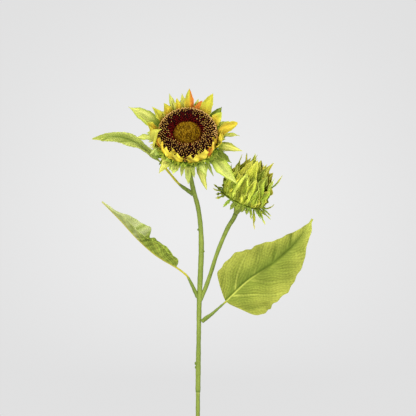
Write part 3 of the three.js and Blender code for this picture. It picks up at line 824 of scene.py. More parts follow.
def root_shaded_bract_paint(row, seed, t, u):
    # Painted shade: darker again towards the root, where the bracts and scales crowd together.
    root = 0.7 * fade(0.5, 0.0, t)
    return [blend(tints, BRACT_DARK, root) for tints in bract_paint(row, seed, t, u)]


def shred_paint(row, seed, t, u):
    # Dark with lighter tips: partly the shreds' green, partly painted shade in the crevice under the rays.
    tints = coated(
        BRACT_DARK,
        (BRACT_EDGE, fade(-0.4, 0.4, t) * (0.3 + 0.7 * scatter(seed + 3))),
        (BRACT_PALE, 0.9 * fade(0.2, 0.9, t) * scatter(seed + 4)),
    )
    return [vary(tints, seed, 0.15)] * 2


def rag_paint(row, seed, t, u):
    end = blend(BRACT_GREEN, RAY_WARM, 0.5 * scatter(seed + 4))
    # Many rags keep little of the lighter colour and stay dark, as painted shade in the gaps under the
    # rays.
    most = 0.85 if scatter(seed + 5) > 0.45 else 0.15
    tints = coated(
        BRACT_DARK,
        (BRACT_EDGE, fade(0.0, 0.3, t) * (0.3 + 0.7 * scatter(seed + 3))),
        (end, most * fade(0.15, 0.5, t)),
    )
    return [vary(tints, seed, 0.15)] * 2


def bud_paint(row, seed, t, u):
    streaks = 0.5 + 0.5 * np.sin(5 * u + TURN * scatter(seed + 3))
    tints = coated(
        BUD_OLIVE,
        (BUD_YELLOW, 0.25 + 0.6 * streaks + 0.15 * fade(0.3, 0.8, t)),
        (BUD_SHADOW, 0.45 * fade(0.22, 0.0, t)),
        # Paler edges and tips, partly the cloth's colour and partly painted light, and a painted highlight
        # stripe on some petals.
        (BUD_LIGHT, 0.85 * fade(0.8, 1.0, abs(u))),
        (BUD_LIGHT, 0.5 * fade(0.7, 1.0, t)),
        (BUD_LIGHT, 0.5 * bump_at(u, 0.3, 0.25) * scatter(seed + 7)),
        (BUD_SHADOW, bump_at(u, -0.62, 0.25) * bump_at(t, 0.45, 0.3)),
        (BUD_SHADOW, 0.35 * (scatter(seed + 8) > 0.65)),
        (BUD_SHADOW, 0.5 * fade(0.6, 1.0, u) * fade(0.7, 0.3, t)),
    )
    # Painted shading: light and dark stripes along the folds, and lighter near the root, darker towards the
    # tip.
    tints = tints * (1 + 0.12 * zigzag(3.3 * u + 0.8 * t + scatter(seed + 4)))[..., None]
    tints = tints * (1.12 - 0.22 * t)[..., None]
    # Painted shade: the inner face is darker towards the root, inside the bud.
    shaded_inside = blend(tints, BUD_SHADOW, 0.4 * fade(1.0, 0.3, t))
    return vary(shaded_inside, seed, 0.12), vary(tints, seed, 0.12)


def shaded_deep_bud_paint(row, seed, t, u):
    # Painted shade: inner petals are darker low down, deep between the outer ones.
    depth = 0.7 * fade(0.75, 0.35, t)
    return [blend(tints, BUD_SHADOW, depth) for tints in bud_paint(row, seed, t, u)]


def sepal_paint(row, seed, t, u):
    length = row[1]
    tips = fade(8, 16, length) * (0.3 + 0.7 * scatter(seed + 6))
    tints = coated(
        SEPAL_GREEN,
        (SEPAL_YELLOW, tips * fade(0.15 + 0.5 * scatter(seed + 3), 0.9, t)),
        (BRACT_DARK, 0.3 * fade(0.25, 0.0, t)),
        (BRACT_EDGE, 0.5 * (scatter(seed + 4) > 0.7) * fade(1.0, 0.5, t)),
        (STEM_GREEN, 0.8 * (length < SHORT_SEPAL)),
    )
    return [vary(tints, seed, 0.1)] * 2


def petal_rows(count, first, length, width, lift, seed, uneven=0.26, turn=0):
    """The rows of a layer that is set by rule all round.

    lift is at the root and at the tip, uneven the spread of the lengths, turn the mean turn at the tips.
    """
    rows = []
    for i in range(count):
        shift, size, broad, root, tip, bend = (scatter(seed + i + 40 * j) for j in range(6))
        rows.append(
            (
                first + 360 / count * i + 8 * (shift - 0.5),
                length * (0.99 + uneven * (size - 0.5)),
                width * (0.85 + 0.3 * broad),
                lift[0] + 8 * (root - 0.5),
                lift[1] + 26 * (tip - 0.5),
                24 * (bend - 0.5) + turn,
            )
        )
    return rows


BUD_INNER_PETALS = petal_rows(9, 30, 41, 15, (80, 116), 300)
BUD_OUTER_PETALS = petal_rows(12, 12, 34, 16, (74, 116), 7)
BUD_FOLDED_PETALS = petal_rows(17, 4, 31, 9, (78, 108), 900, uneven=0.6, turn=18)
BUD_CROWN_PETALS = petal_rows(9, 16, 45, 9, (84, 104), 960)
BUD_TALL_PETALS = [
    (238, 41, 17, 88, 96, 4), (212, 42, 16, 86, 102, 4), (262, 44, 14, 88, 98, 8),
    (190, 41, 19, 72, 102, -12),
]
BUD_FLAPS = petal_rows(11, 10, 15, 8.5, (72, 92), 1000, uneven=0.8)
# Tufts of sepal cloth under the bud, and the bearings between which there are none.
TUFT_GAP = (215, 280)
BUD_TUFTS = petal_rows(23, 0, 12.5, 4.6, (6, -30), 400, uneven=0.9)
BUD_TUFTS = [row for row in BUD_TUFTS if not TUFT_GAP[0] < row[0] < TUFT_GAP[1]]

# Small shreds of cloth under the rays, dark as painted shade under the ring, and the scales that lie on the
# cup's back.
SHREDS = petal_rows(19, 4, 9.5, 9, (0, -44), 700)
RIM_RAGS = petal_rows(23, 0, 6.5, 10, (46, -10), 740, uneven=0.8)
CUP_SCALES = petal_rows(11, 0, 17, 10, (22, 2), 820)
CUP_LEAFLETS = petal_rows(9, 20, 11, 6.5, (40, 6), 860)


def looks_by_row(rows, upright, bearings, special, plain):
    """Each petal's cloth: one if it stands up, one if it's at one of the bearings, and else a plain one."""
    return {row: upright if is_upright(row) else special if row[0] in bearings else plain for row in rows}


def make_head():
    ray_cloth = cloth("ray_cloth_finish")
    bract_cloth = cloth("bract_cloth_finish", soft=0.06)
    flat_ray = Cloth(roll=7, crease=0.5, pleats=0.2, folds=0.35, ruffle=0.7, curl=16, point=0.9)
    blunt_ray = replace(flat_ray, point=0.6, widen=1.18, lengthen=1.04, folds=0.9, contrast=0.22)
    torn_ray = Cloth(
        roll=4, crease=0.2, pleats=0.1, folds=1.4, fold_count=1.05, contrast=0.42, ruffle=1,
        ruffle_count=1.3, point=0.2, widen=1.35, lengthen=1.3, teeth=0.42, ragged=0.12, twist=14, curl=20,
        along=36, across=24,
    )
    inner = Cloth(
        cup=0.08, roll=7, crease=0.45, folds=0.5, ruffle=0.8, point=1.1, twist=16, curl=16, across=18
    )
    curled = replace(inner, widen=1.35, lengthen=1.1, folds=1.1)
    pointed = replace(inner, point=1.45, widen=1.06)
    middle = Cloth(
        crease=0.6, folds=0.8, fold_count=1.2, contrast=0.2, ruffle=0.9, point=1.35, widen=1.15, twist=24,
        curl=24, across=18,
    )
    outer = Cloth(cup=0.05, folds=0.6, fold_count=1.2, contrast=0.2, ruffle=0.6, twist=24, curl=24)
    shred = Cloth(
        cup=0, crease=0.2, folds=0.9, ruffle=0.8, point=0.6, teeth=0.4, twist=40, curl=50, along=14
    )
    rag = replace(shred, folds=1.2, point=0.4, teeth=0.55, twist=60, curl=80, across=16)
    scale = Cloth(cup=-0.06, crease=0.3, folds=0.25, ruffle=0.3, point=0.7, twist=6, curl=8)

    rays = looks_by_row(RAYS, torn_ray, BLUNT_RAYS + YELLOW_RAYS, blunt_ray, flat_ray)
    bodies = whorl(head, RAYS, rays, ray_paint, BRACT_DARK, top=-0.35, rim=33, seed=1000)
    piece("ray_cloth", bodies, ray_cloth, "ray", "ray_petals")
    inners = looks_by_row(INNER_BRACTS, curled, DIMMED_BRACTS, pointed, inner)
    bodies = whorl(head, INNER_BRACTS, inners, bract_paint, BRACT_DARK, top=-1.65, rim=34.6, seed=2000)
    piece("inner_bract_cloth", bodies, bract_cloth, "inner_bract", "inner_bracts")
    bodies = whorl(head, MIDDLE_BRACTS, middle, bract_paint, BRACT_DARK, top=-2.95, rim=31.6, seed=3000)
    piece("middle_bract_cloth", bodies, bract_cloth, "bract", "middle_bracts")
    bodies = whorl(head, OUTER_BRACTS, outer, root_shaded_bract_paint, BRACT_DARK, top=-4.25, rim=27.4, seed=4000)
    piece("outer_bract_cloth", bodies, bract_cloth, "bract", "outer_bracts")
    shreds = petals(head, SHREDS, shred, shred_paint, height=-1.4, rim=32.6, seed=5000)
    shreds += petals(head, RIM_RAGS, rag, rag_paint, height=-0.5, rim=32.8, seed=5300)
    piece("bract_shreds", shreds, bract_cloth, "bract")
    scales = petals(head, CUP_SCALES, scale, root_shaded_bract_paint, height=-11.6, rim=8.5, seed=5600)
    scales += petals(head, CUP_LEAFLETS, scale, root_shaded_bract_paint, height=-13.6, rim=5.5, seed=5900)
    piece("cup_scales", scales, bract_cloth, "calyx")


# The seed ring and the fuzzy centre

FLORET_DARK = colour(0x1E0A08)
FLORET_MAROON = colour(0x42120E)
FLORET_RED = colour(0x640C0C)
FLORET_OCHRE = colour(0xBE9238)
FLORET_TAN = colour(0xEEC07C)
DISC_GOLD = colour(0xA67E06)
DISC_DARK = colour(0x4E3004)
DISC_LIGHT = colour(0xC4A030)
FLORETS = 1080
FLORET_LENGTH = 2.7
FLORET_RADIUS = 0.8
FLORET_SINK = 0.5
RING_SIDES = 96
FELT_INSET = 1.7
FELT_FOOT = 0.2
INNER_WALL_FOOT = 7.5
TUFTS = 950
TUFT_LENGTH = 1.9
TUFT_RADIUS = 0.52
TUFT_SINK = 0.3
TUFTED_RADIUS = 14.6
FUZZ_DROP = 1.0
# The radii between which the tufts turn red.
REDDENING = (12.2, 14.2)
GOLDEN_ANGLE = TURN * (1 - 2 / (1 + math.sqrt(5)))


def ring_profile(inset):
    """A fine profile of the ring's skin, from the foot of its inner wall to the foot of its outer wall."""
    rows = np.array([(SEED_RING[0][0], INNER_WALL_FOOT)] + SEED_RING[:0:-1], float)
    fine = np.linspace(0, 1, 12 * (len(rows) - 1) + 1)
    rows = spline(rows, fine)
    along = np.gradient(rows, axis=0)
    normal = unit(np.column_stack([-along[:, 1], along[:, 0]]))
    return rows - normal * inset, normal


def make_seed_ring():
    felt = flock("seed_felt_finish")
    rows, normal = ring_profile(FELT_INSET)
    area = np.concatenate([[0], np.cumsum(step_lengths(rows) * (rows[1:, 0] + rows[:-1, 0]))])
    luck = scatters(5000, 3, FLORETS)
    k = np.arange(FLORETS)
    uneven = 14 * (luck[2] - 0.5)
    share = np.interp((k + 0.5 + uneven) / FLORETS, area / area[-1], np.linspace(0, 1, len(rows)))
    bearing = k * GOLDEN_ANGLE + 0.04 * (luck[0] - 0.5)
    outward = head.outward(bearing) * at_shares(share, normal, 0)[:, None]
    upward = head.axis * at_shares(share, normal, 1)[:, None]
    lean = head.outward(bearing + math.pi / 2) * (0.5 * (luck[0] - 0.5))[:, None]
    ahead = unit(outward + upward + lean + head.axis * 0.25)
    places = head.at(bearing, at_shares(share, rows, 0), at_shares(share, rows, 1)) - ahead * FLORET_SINK
    edge = 0.33 + 0.08 * np.sin(bearing) - 0.05 * np.cos(bearing)
    inner = luck[1] > fade(edge - 0.14, edge + 0.1, share)
    tipped = ~inner & (luck[2] > 0.1)
    body = post([(0, 0.9), (0.45, 1.0), (0.8, 0.85), (1.0, 0.4)], 6)
    tip = post([(0.78, 0.3), (0.92, 0.6), (1.06, 0.64), (1.16, 0.35)], 6)
    size = FLORET_RADIUS * (0.85 + 0.3 * luck[2])
    length = FLORET_LENGTH * (0.9 + 0.25 * luck[1]) * np.where(inner, 0.85, 1.0)
    dark = blend(FLORET_DARK, FLORET_MAROON, luck[0])
    red = blend(FLORET_RED, FLORET_DARK, 0.95 * luck[0] ** 2)
    crown = fade(-0.6, 0.6, np.sin(bearing + 0.4)) * fade(0.45, 0.7, share)
    gold = blend(FLORET_OCHRE, FLORET_TAN, np.maximum(0.35 * luck[0], 0.9 * crown))
    skin = [*rows, (rows[-1, 0], FELT_FOOT), (rows[0, 0], FELT_FOOT)]
    piece("ring_felt", [closed_ring(head, skin, RING_SIDES, FLORET_DARK)], felt, "seed", "seed_ring")
    tip_felt = flock("seed_tip_finish", mottle=(0.85, 1.15))
    kinds = [
        ("ring_florets", body, ~inner, size, dark, felt),
        ("ring_inner_florets", body, inner, size, red, flock("seed_red_finish")),
        ("ring_floret_tips", tip, tipped, size * (0.92 + 0.5 * crown), gold, tip_felt),
    ]
    for name, template, own, sizes, tints, made in kinds:
        bristles = stamped(template, *(each[own] for each in (places, ahead, sizes, length, tints)))
        piece(name, [bristles], made, "seed")


def make_disc_centre():
    fuzz = flock("disc_fuzz_finish")
    low = [(r, h - FUZZ_DROP) if h > 0 else (r, h) for r, h in DISC_CENTRE]
    shade = blend(DISC_DARK, DISC_GOLD, 0.3)
    base = turned(head, low, segments=48, tint_of=lambda share, angle: np.tile(shade, (*share.shape, 1)))
    piece("centre_felt", [base], fuzz, "disc", "disc_centre")
    luck = scatters(12000, 3, TUFTS)
    k = np.arange(TUFTS)
    radius = TUFTED_RADIUS * np.sqrt((k + 0.5) / TUFTS)
    rows = np.array(low[2:])[::-1]
    height = np.interp(radius, rows[:, 0], rows[:, 1])
    bearing = k * GOLDEN_ANGLE
    wild = head.outward(TURN * luck[0]) * (0.7 * luck[1])[:, None]
    ahead = unit(head.axis + head.outward(bearing) * (0.25 * radius / TUFTED_RADIUS)[:, None] + wild)
    clumps = np.sin(bearing * 3 + radius) * np.sin(radius * 1.3 + 2 * np.sin(bearing))
    tints = coated(
        DISC_GOLD,
        (DISC_LIGHT, luck[2] * (0.6 + 0.4 * clumps)),
        (DISC_DARK, 0.9 * (luck[1] > 0.66 + 0.25 * clumps)),
        (FLORET_RED, 0.75 * fade(*REDDENING, radius + 1.5 * (luck[2] - 0.5))),
    )
    tuft = post([(0, 1.0), (0.5, 0.8), (1.0, 0.25)], 4)
    size = TUFT_RADIUS * (0.8 + 0.4 * luck[1])
    length = TUFT_LENGTH * (0.8 + 0.5 * luck[0])
    tufts = stamped(tuft, head.at(bearing, radius, height - TUFT_SINK), ahead, size, length, tints)
    piece("centre_tufts", [tufts], fuzz, "disc")


# Stems, cups and petioles


def arrival(flower, length, radius):
    """The end of a stem under a flower, on its axis, with a point before it so that it arrives straight."""
    return [(*(flower.centre - flower.axis * back), radius) for back in (length + STRAIGHT_END, length)]


def limb(rows, beside, tint_of, relief, sides, steps):
    """A round tapering limb through rows of x, y, z and radius. relief is how far its coat stands out."""
    rows = np.array(rows, float)
    t = np.linspace(0, 1, (len(rows) - 1) * steps + 1)
    ahead = heading(rows[:, :3], t)
    point = spline(rows[:, :3], t)
    across = unit(np.cross(np.array(beside, float), ahead))
    outward = np.cross(across, ahead)
    tt, aa = np.meshgrid(t, np.arange(sides) / sides * TURN, indexing="ij")
    radius = at_shares(tt, rows, 3) + relief(tt, aa, point[:, 2][:, None])
    rings = (
        point[:, None]
        + across[:, None] * (np.cos(aa) * radius)[..., None]
        + outward[:, None] * (np.sin(aa) * radius)[..., None]
    )
    return facing_out(rolled(rings, tint_of(tt, aa)))


def coat_relief(seed):
    """Fine lengthwise ribs, a parting line on each side, and a slightly uneven coat."""

    def relief(t, a, z):
        ribs = 0.05 * np.cos(7 * a + 5 * t)
        parting = 0.1 * (bump_at(a, math.pi / 2, 0.16) + bump_at(a, 1.5 * math.pi, 0.16))
        uneven = 0.07 * np.sin(z * 0.31 + seed) + 0.05 * np.sin(z * 0.83 + 2 * a + seed)
        return ribs + parting + uneven

    return relief


def coat_tint(seed):
    def tint_of(t, a):
        streak = 0.5 + 0.5 * np.sin(3 * a + 40 * t + seed)
        patch = 0.5 + 0.5 * np.sin(23 * t + 1.7 * seed) * np.sin(61 * t + seed)
        return coated(STEM_GREEN, (STEM_LIGHT, 0.7 * streak * patch), (STEM_DARK, 0.25 * (1 - patch)))

    return tint_of


def peg(height, bearing, size):
    rows = np.array(STEM)
    x, y, radius = (np.interp(height, rows[:, 2], rows[:, i]) for i in (0, 1, 3))
    out = np.array([math.cos(math.radians(bearing)), -math.sin(math.radians(bearing)), 0])
    place = np.array([x, y, height]) + out * (radius - 0.4 * size)
    knob = post([(0, 1.0), (0.5, 1.0), (0.85, 0.8), (1.0, 0.35)], 12)
    ahead = unit(out + np.array([0, 0, 0.1]))
    size = np.array([size])
    return stamped(knob, place[None], ahead[None], size, 1.4 * size, STEM_DARK[None])


def make_stems():
    coat = coating("stem_coat_finish")
    plain = coat_relief(0.0)
    streaked = coat_tint(1.0)
    rows = STEM + arrival(head, NECK_LENGTH, radius=2.8)

    def main_relief(t, a, z):
        collar = 0.32 * bump_at(z, COLLAR_HEIGHT, 0.8) - 0.12 * bump_at(z, COLLAR_HEIGHT - 2.2, 0.9)
        fork = 0.5 * bump_at(z, FORK_HEIGHT, 7) + 0.35 * bump_at(z, UPPER_PETIOLE_HEIGHT, 5)
        sleeve = 0.4 * fade(0, 1.5, z - COLLAR_HEIGHT) * fade(60, 25, z - COLLAR_HEIGHT)
        return plain(t, a, z) + collar + sleeve + fork * np.cos(a) ** 2

    def main_tint(t, a):
        z = at_shares(t, np.array(rows), 2)
        seam, edge = (bump_at(z, COLLAR_HEIGHT - below, 0.8) for below in (0, 1.6))
        return coated(streaked(t, a), (BRACT_DARK, 0.7 * seam), (BRACT_PALE, 0.25 * edge))

    trunk = limb(rows, (1, 0, 0), main_tint, main_relief, sides=28, steps=90)
    piece("stem_coat", [trunk, *(peg(*row) for row in PEGS)], coat, "stem", "main_stem")
    shoot = SIDE_SHOOT + arrival(bud, BUD_NECK_LENGTH, radius=2.6)
    bough = limb(shoot, (0, 1, 0), coat_tint(4.0), coat_relief(2.0), sides=28, steps=24)
    piece("side_stem_coat", [bough], coat, "stem", "side_shoot")
    return coat


def make_petioles(coat):
    for name, leaf in LEAVES.items():
        rib = np.array(leaf.rib)
        end = rib[0] + unit(rib[1] - rib[0]) * PETIOLE_OVERLAP
        rows = [*leaf.petiole, (*end, PETIOLE_END_RADIUS)]

        def relief(t, a, z):
            return leaf.coat + 0.05 * np.cos(5 * a) + 0.08 * np.sin(40 * t)

        def tint_of(t, a):
            sleeve = blend(STEM_GREEN, STEM_DARK, 0.5 + 0.3 * np.sin(3 * a + 9 * t))
            return blend(sleeve, WIRE_YELLOW, fade(leaf.sleeve, leaf.sleeve + 0.2, t))

        wire = limb(rows, (0, 1, 0), tint_of, relief, sides=16, steps=16)
        piece("petiole_wire_" + name, [wire], coat, "stem", "petiole_" + name)


def make_cups():
    shade = coating("cup_finish")

    def cup_tint(share, angle):
        return blend(STEM_GREEN, STEM_LIGHT, 0.5 + 0.5 * np.sin(9 * angle + 4 * share))

    def ribs(share, angle):
        return 0.18 * np.cos(12 * angle) * fade(0.05, 0.3, share)

    head_cup = turned(head, CALYX_CUP, segments=96, tint_of=cup_tint, relief=ribs)
    piece("cup_head", [head_cup], shade, "calyx", "calyx_cup")
    bud_cup = turned(bud, BUD_CUP, segments=96, tint_of=cup_tint, relief=ribs)
    piece("cup_bud", [bud_cup], shade, "calyx", "bud_cup")


# The bud


def make_bud():
    petal_cloth = cloth("bud_cloth_finish", mottle=(0.85, 1.1))
    inner = Cloth(
        cup=0.15, roll=12, crease=0.5, pleats=0.2, pleat_count=5, folds=1.6, contrast=0.38, ruffle=2.0,
        ruffle_count=2.3, ragged=0.1, point=0.9, widen=1.1, lengthen=1.1, twist=20, curl=-95, along=44,
        across=24,
    )
    outer = replace(
        inner, cup=0.1, folds=1.9, fold_count=1.7, contrast=0.5, ruffle=2.2, ruffle_count=2.1, widen=1.05,
        lengthen=1.04, twist=28, curl=-80,
    )
    narrow = replace(
        outer, cup=-0.25, roll=0, folds=0.8, fold_count=0.9, ruffle=1.5, twist=40, curl=-105, across=16
    )
    tall = replace(inner, folds=0.6, fold_count=1.1, contrast=0.16, ruffle=1.2, curl=-40)
    strap = Cloth(
        crease=0.2, folds=0.5, contrast=0.25, ruffle=0.9, ragged=0.16, point=0.9, widen=1.2, twist=50,
        curl=60, along=28, across=8,
    )

    def core_tint(share, angle):
        return blend(BUD_SHADOW, BUD_OLIVE, 0.3 + 0.3 * np.sin(9 * angle))

    def core_ribs(share, angle):
        return 0.5 * np.cos(9 * angle)

    core = turned(bud, BUD_CORE, segments=64, tint_of=core_tint, relief=core_ribs)
    piece("bud_felt", [core], flock("bud_core_finish"), "bud_core", "bud_core")
    bodies = whorl(bud, BUD_INNER_PETALS, inner, shaded_deep_bud_paint, BUD_SHADOW, top=0.55, rim=15.2, seed=6000)
    piece("bud_inner_cloth", bodies, petal_cloth, "bud_petal", "bud_inner_petals")
    bodies = whorl(bud, BUD_OUTER_PETALS, outer, bud_paint, BUD_SHADOW, top=-0.75, rim=22, seed=7000)
    piece("bud_outer_cloth", bodies, petal_cloth, "bud_petal", "bud_outer_petals")
    bodies = petals(bud, BUD_FOLDED_PETALS, narrow, bud_paint, height=-0.4, rim=22.6, seed=9000)
    bodies += petals(bud, BUD_CROWN_PETALS, narrow, shaded_deep_bud_paint, height=1.2, rim=12.5, seed=9500)
    bodies += petals(bud, BUD_FLAPS, narrow, bud_paint, height=-1.0, rim=23.0, seed=9900)
    bodies += petals(bud, BUD_TALL_PETALS, tall, shaded_deep_bud_paint, height=0.6, rim=16.5, seed=9800)
    piece("bud_folded_cloth", bodies, petal_cloth, "bud_petal")
    bodies = whorl(bud, BUD_SEPALS, strap, sepal_paint, BRACT_EDGE, top=-2.05, rim=22.6, seed=8000)
    piece("sepal_cloth", bodies, cloth("sepal_cloth_finish"), "sepal", "bud_sepals")
    bodies = petals(bud, BUD_TUFTS, strap, sepal_paint, height=-2.3, rim=21.6, seed=8600)
    piece("sepal_tufts", bodies, cloth("sepal_tuft_finish"), "sepal")


# Leaves

LEAF_THICKNESS = 0.7
LEAF_ALONG = 150
LEAF_ACROSS = 96
# Rows of a leaf's grid lie closer near its foot by this power.
LEAF_CROWDING = 1.45
VEIN_SPACING = 26
VEIN_BEND = 0.012
FIRST_VEIN = (14, 9)


def leaf_outline(t, belly, taper):
    widest = belly / (belly + taper)
    return t**belly * (1 - t) ** taper / (widest**belly * (1 - widest) ** taper)


def leaf_blade(leaf):
    t = np.linspace(0, 1, LEAF_ALONG + 1)
    u = np.linspace(-1, 1, LEAF_ACROSS + 1)
    share, rib_length = by_length(leaf.rib, t**LEAF_CROWDING)
    point = spline(leaf.rib, share)
    ahead = heading(leaf.rib, share)
    side = unit(np.cross(ahead, mix(*np.array(leaf.faces), t[:, None])))
    face = np.cross(side, ahead)[:, None]
    tt, uu = np.meshgrid(t, u, indexing="ij")
    far = (uu >= 0).astype(int)
    early = tt**LEAF_CROWDING

    def pick(pair):
        return np.array(pair, float)[far]

    half = pick(leaf.half_widths) * leaf_outline(early, pick(leaf.belly), pick(leaf.taper))
    half = np.maximum(half, RIB_RADIUS)
    edge = leaf.teeth * (np.sin(TURN * (11 * early + 0.2 * far)) + 1.6 * zigzag(4.3 * early + 0.3 * far))
    half = half * (1 + edge * fade(0.6, 1, abs(uu)))
    if leaf.notch:
        bulge = 0.12 * bump_at(early, leaf.notch + 0.06, 0.04)
        dent = 0.34 * bump_at(early, leaf.notch - 0.02, 0.03)
        half = half * (1 + far * (bulge - dent) * fade(0.3, 1.0, abs(uu)))
    half = half * (1 - 0.5 * fade(leaf.slim, leaf.slim + 0.18, early))
    for place, reach, *sizes in leaf.swells:
        half = half * (1 + pick(sizes) * bump_at(early, place, reach))
    fold = np.radians(mix(*leaf.fold, tt))
    depth, count = leaf.ruffle
    wave = depth * np.sin(TURN * (count * tt + pick((0.2, 0.65)))) * np.sin(math.pi * tt)
    out = abs(uu) * half
    along = early * rib_length

    # Side veins leave the rib at about 45 degrees and bend toward the tip.
    course = along - out - VEIN_BEND * out**2 - pick(FIRST_VEIN)
    order = np.round(course / VEIN_SPACING)
    near = (course - order * VEIN_SPACING) * 0.7
    beyond = fade(0.5, 2.5, out)
    young = np.clip(1 - order / 2, 0, 1)
    vein = bump_at(near, 0, 0.95) * (order >= 0) * fade(0.97, 0.8, abs(uu)) * beyond
    crumple = bump_at(near, 0, 1.5) * (order >= 0) * (1 - young) * beyond
    fold_line = crumple * fade(18, 6, out) * pick((1, 0.3))
    quilt = np.cos(TURN * course / VEIN_SPACING) * fade(0, 10, out) * fade(1.0, 0.75, abs(uu))
    small = zigzag(course / 4.6 + 0.25 * np.sin(out * 0.4) + 0.3 * np.sin(along * 0.3)) * fade(0.5, 4, out)
    cross = zigzag((along + 1.7 * out) / 6.1 + 0.4 * np.sin(course * 0.5)) * fade(3, 9, out)
    streaks = 0.5 + 0.5 * np.cos(TURN * (early * 7 + 0.3 * uu + 0.1 * np.sin(along * 0.3)))
    pale = bool(leaf.notch) * fade(leaf.notch, leaf.notch + 0.06, early) * pick((0.6, 1))
    plain = 1 - 0.85 * pale
    wrinkles = leaf.wrinkles * (0.22 * small + 0.16 * cross)
    rise = out * np.sin(fold) + uu**2 * wave
    rise = rise + fade(0, 6, half) * (wrinkles - leaf.quilt * quilt - 0.9 * fold_line) * plain
    ridge = bump_at(out, 0, 0.7) * fade(0.5, 0.15, early)
    groove = bump_at(out, 0, 1.5) * fade(0.25, 0.45, early) * fade(0.98, 0.85, early)
    thin = LEAF_THICKNESS / 2
    front = thin + 0.6 * ridge - 0.7 * groove + 0.25 * vein * young
    back = thin + (RIB_RADIUS - thin) * bump_at(out, 0, 0.9) + 0.25 * vein
    sideways = side[:, None] * (uu * half * np.cos(fold))[..., None]
    middle = point[:, None] + sideways + face * rise[..., None]

    shades = {name: colour(code) for name, code in leaf.tints.items()}
    hazy = (shades["tip"], pale * (0.92 - 0.75 * streaks * fade(0.85, 0.5, early)))
    cloudy = 0.5 + 0.25 * np.sin(along * 0.21 + uu * 3) + 0.25 * np.sin(along * 0.11 - uu * 5)
    netted = leaf.contrast * plain * (0.14 * small + 0.1 * cross)
    shadow = bump_at(uu * half, -1.7, 1.1) * fade(0.55, 0.35, early)
    # The crease tint is painted shade in the fold lines, the groove along the rib, the quilting's valleys
    # and beside the rib.
    tints = coated(
        shades["blade"],
        (shades["margin"], fade(0.25, 1.0, abs(uu) * 0.8 + 0.25 * cloudy)),
        (shades["rib"], 0.75 * fade(0.5, 0.0, abs(uu)) * pick((1, 0.35))),
        (shades["vein"], 0.75 * vein * young),
        (shades["vein"], 0.35 * vein * (1 - young)),
        (shades["crease"], 0.85 * fold_line),
        (shades["tip"], 0.7 * fade(0.7, 1.0, early)),
        (shades["crease"], 0.75 * groove * fade(0.95, 0.65, early)),
        (shades["crease"], 0.8 * shadow),
        (shades["vein"], 0.95 * ridge),
        (shades["crease"], 0.3 * fade(0.2, 1.0, quilt)),
    )
    tints = coated(tints * (1 + netted + 0.2 * (cloudy - 0.5))[..., None], hazy)
    back_tints = coated(shades["back"] * (1 + netted + 0.2 * plain * quilt)[..., None], hazy)
    if leaf.notch:
        rungs = (1 + 0.2 * zigzag(early * 15 + 0.8 * abs(uu)) * fade(0.9, 0.4, early))[..., None]
        # Painted shade: dark lines along the folds across the notched leaf.
        bend = early + 0.08 * abs(uu) - leaf.notch
        shaded_folds = ((0.7, 0.04, 0.014), (0.5, 0.09, 0.01), (0.4, -0.04, 0.01))
        fold_shade = sum(most * bump_at(bend, place, width) for most, place, width in shaded_folds)
        tints, back_tints = (blend(each * rungs, shades["crease"], fold_shade) for each in (tints, back_tints))
    back_tints = blend(back_tints, shades["vein"], 0.4 * vein + 0.9 * bump_at(out, 0, 1.4))
    weave = np.stack([uu * half, along], axis=-1)
    top, under = middle + face * front[..., None], middle - face * back[..., None]
    return shell(top, under, tints, back_tints, weave)


def make_leaves():
    crisp = cloth("leaf_cloth_finish", pitch=0.55, depth=0.12, soft=0.08)
    faded = cloth("faded_leaf_cloth_finish", pitch=0.55, mottle=(0.95, 1.04), depth=0.04, soft=0.08)
    for name, leaf in LEAVES.items():
        made = faded if leaf.notch else crisp
        piece("leaf_cloth_" + name, [leaf_blade(leaf)], made, "leaf", "leaf_" + name)


# The studio: a seamless pale floor and wall all round, soft light and the camera

PHOTO_SIZE = 416
MM_PER_PIXEL = 1.1
STEM_PIXEL = 197.9
FRAME_FOOT = 300
CAMERA_DISTANCE = 1800
SENSOR_WIDTH = 36
FLOOR_RADIUS = 3400
COVE_RADIUS = 900
WALL_HEIGHT = 5200
PAPER_TINT = (1, 1, 1.002, 1)
# The paper's own light, least and most, and the middle and reach of the soft spot on the wall behind.
PAPER_GLOW = (0.75, 0.85)
SPOT_MIDDLE = (0, 4300, 480)
SPOT_REACH = 1200
WORLD_LIGHT = 0.5
# Lamps: place, size and power. They all point at one place over the stem's foot.
LAMPS = {
    "key": ((-900, -1500, 2000), 900, 40),
    "fill": ((1500, -1400, 900), 1200, 13),
    "low": ((-200, -1900, -100), 1100, 20),
    "back": ((300, 2000, 1500), 1500, 24),
}
LAMP_AIM = (0, 0, 520)


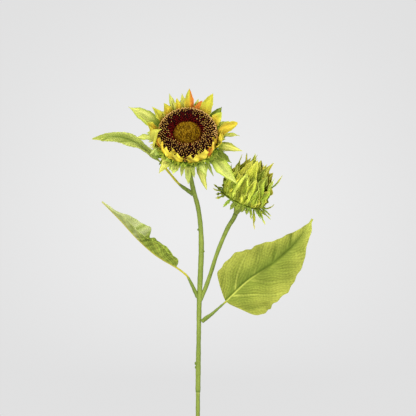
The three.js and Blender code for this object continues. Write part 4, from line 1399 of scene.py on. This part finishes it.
def make_stage():
    """A floor that curves up into a wall all round. Only the camera sees it, and light reaches past it."""
    arc = np.linspace(0, TURN / 4, 24)[1:]
    wall = FLOOR_RADIUS + COVE_RADIUS
    cove = FLOOR_RADIUS + COVE_RADIUS * np.sin(arc)
    radius = np.concatenate([np.linspace(0.01, FLOOR_RADIUS, 12), cove, [wall]])
    height = np.concatenate([np.zeros(12), COVE_RADIUS * (1 - np.cos(arc)), [WALL_HEIGHT]])
    bearing = np.linspace(0, TURN, 97)
    points = ground.at(bearing, radius[:, None], height[:, None]) * MM
    faces = grid_quads(*points.shape[:2])[:, ::-1]
    mesh = bpy.data.meshes.new("floor_sweep")
    mesh.from_pydata(points.reshape(-1, 3).tolist(), [], faces.tolist())
    mesh.polygons.foreach_set("use_smooth", np.ones(len(mesh.polygons), bool))

    def paper(tree):
        middle = [c * MM for c in SPOT_MIDDLE]
        sides = {0: add(tree, "TexCoord", "Object"), 1: middle}
        away = add(tree, "VectorMath", "Value", sides, operation="DISTANCE")
        low, high = PAPER_GLOW
        glow = ranged(tree, away, high, low, 0, SPOT_REACH * MM, interpolation_type="SMOOTHSTEP")
        return {
            "Base Color": (0, 0, 0, 1),
            "Roughness": 1.0,
            "Specular IOR Level": 0.0,
            "Emission Color": PAPER_TINT,
            "Emission Strength": glow,
        }

    mesh.materials.append(new_material("paper_finish", paper))
    sweep = placed("floor_sweep", mesh)
    sweep.visible_diffuse = False
    sweep.visible_glossy = False
    sweep.visible_shadow = False


def make_light():
    world = bpy.data.worlds.new("even_light")
    world.use_nodes = True
    sky = world.node_tree.nodes["Background"]
    sky.inputs["Color"].default_value = (1, 1, 1, 1)
    sky.inputs["Strength"].default_value = WORLD_LIGHT
    bpy.context.scene.world = world
    for name, (place, size, power) in LAMPS.items():
        lamp = bpy.data.lights.new(name, "AREA")
        lamp.size = size * MM
        lamp.energy = power
        made = placed(name, lamp)
        made.location = Vector(place) * MM
        aim = Vector(LAMP_AIM) * MM - made.location
        made.rotation_euler = aim.to_track_quat("-Z", "Y").to_euler()
        made.visible_camera = False


def make_camera():
    """Level, in front of the spray, with the frame that the photo has at the stem."""
    width = PHOTO_SIZE * MM_PER_PIXEL
    camera = bpy.data.cameras.new("camera")
    camera.sensor_width = SENSOR_WIDTH
    camera.lens = SENSOR_WIDTH * CAMERA_DISTANCE / width
    made = placed("camera", camera)
    across = (PHOTO_SIZE / 2 - STEM_PIXEL) * MM_PER_PIXEL
    made.location = Vector((across, -CAMERA_DISTANCE, FRAME_FOOT + width / 2)) * MM
    made.rotation_euler = (math.radians(90), 0, 0)
    bpy.context.scene.camera = made
    bpy.context.scene.view_settings.view_transform = "Standard"


make_camera()
make_stage()
make_light()
make_petioles(make_stems())
make_cups()
make_leaves()
make_head()
make_seed_ring()
make_disc_centre()
make_bud()
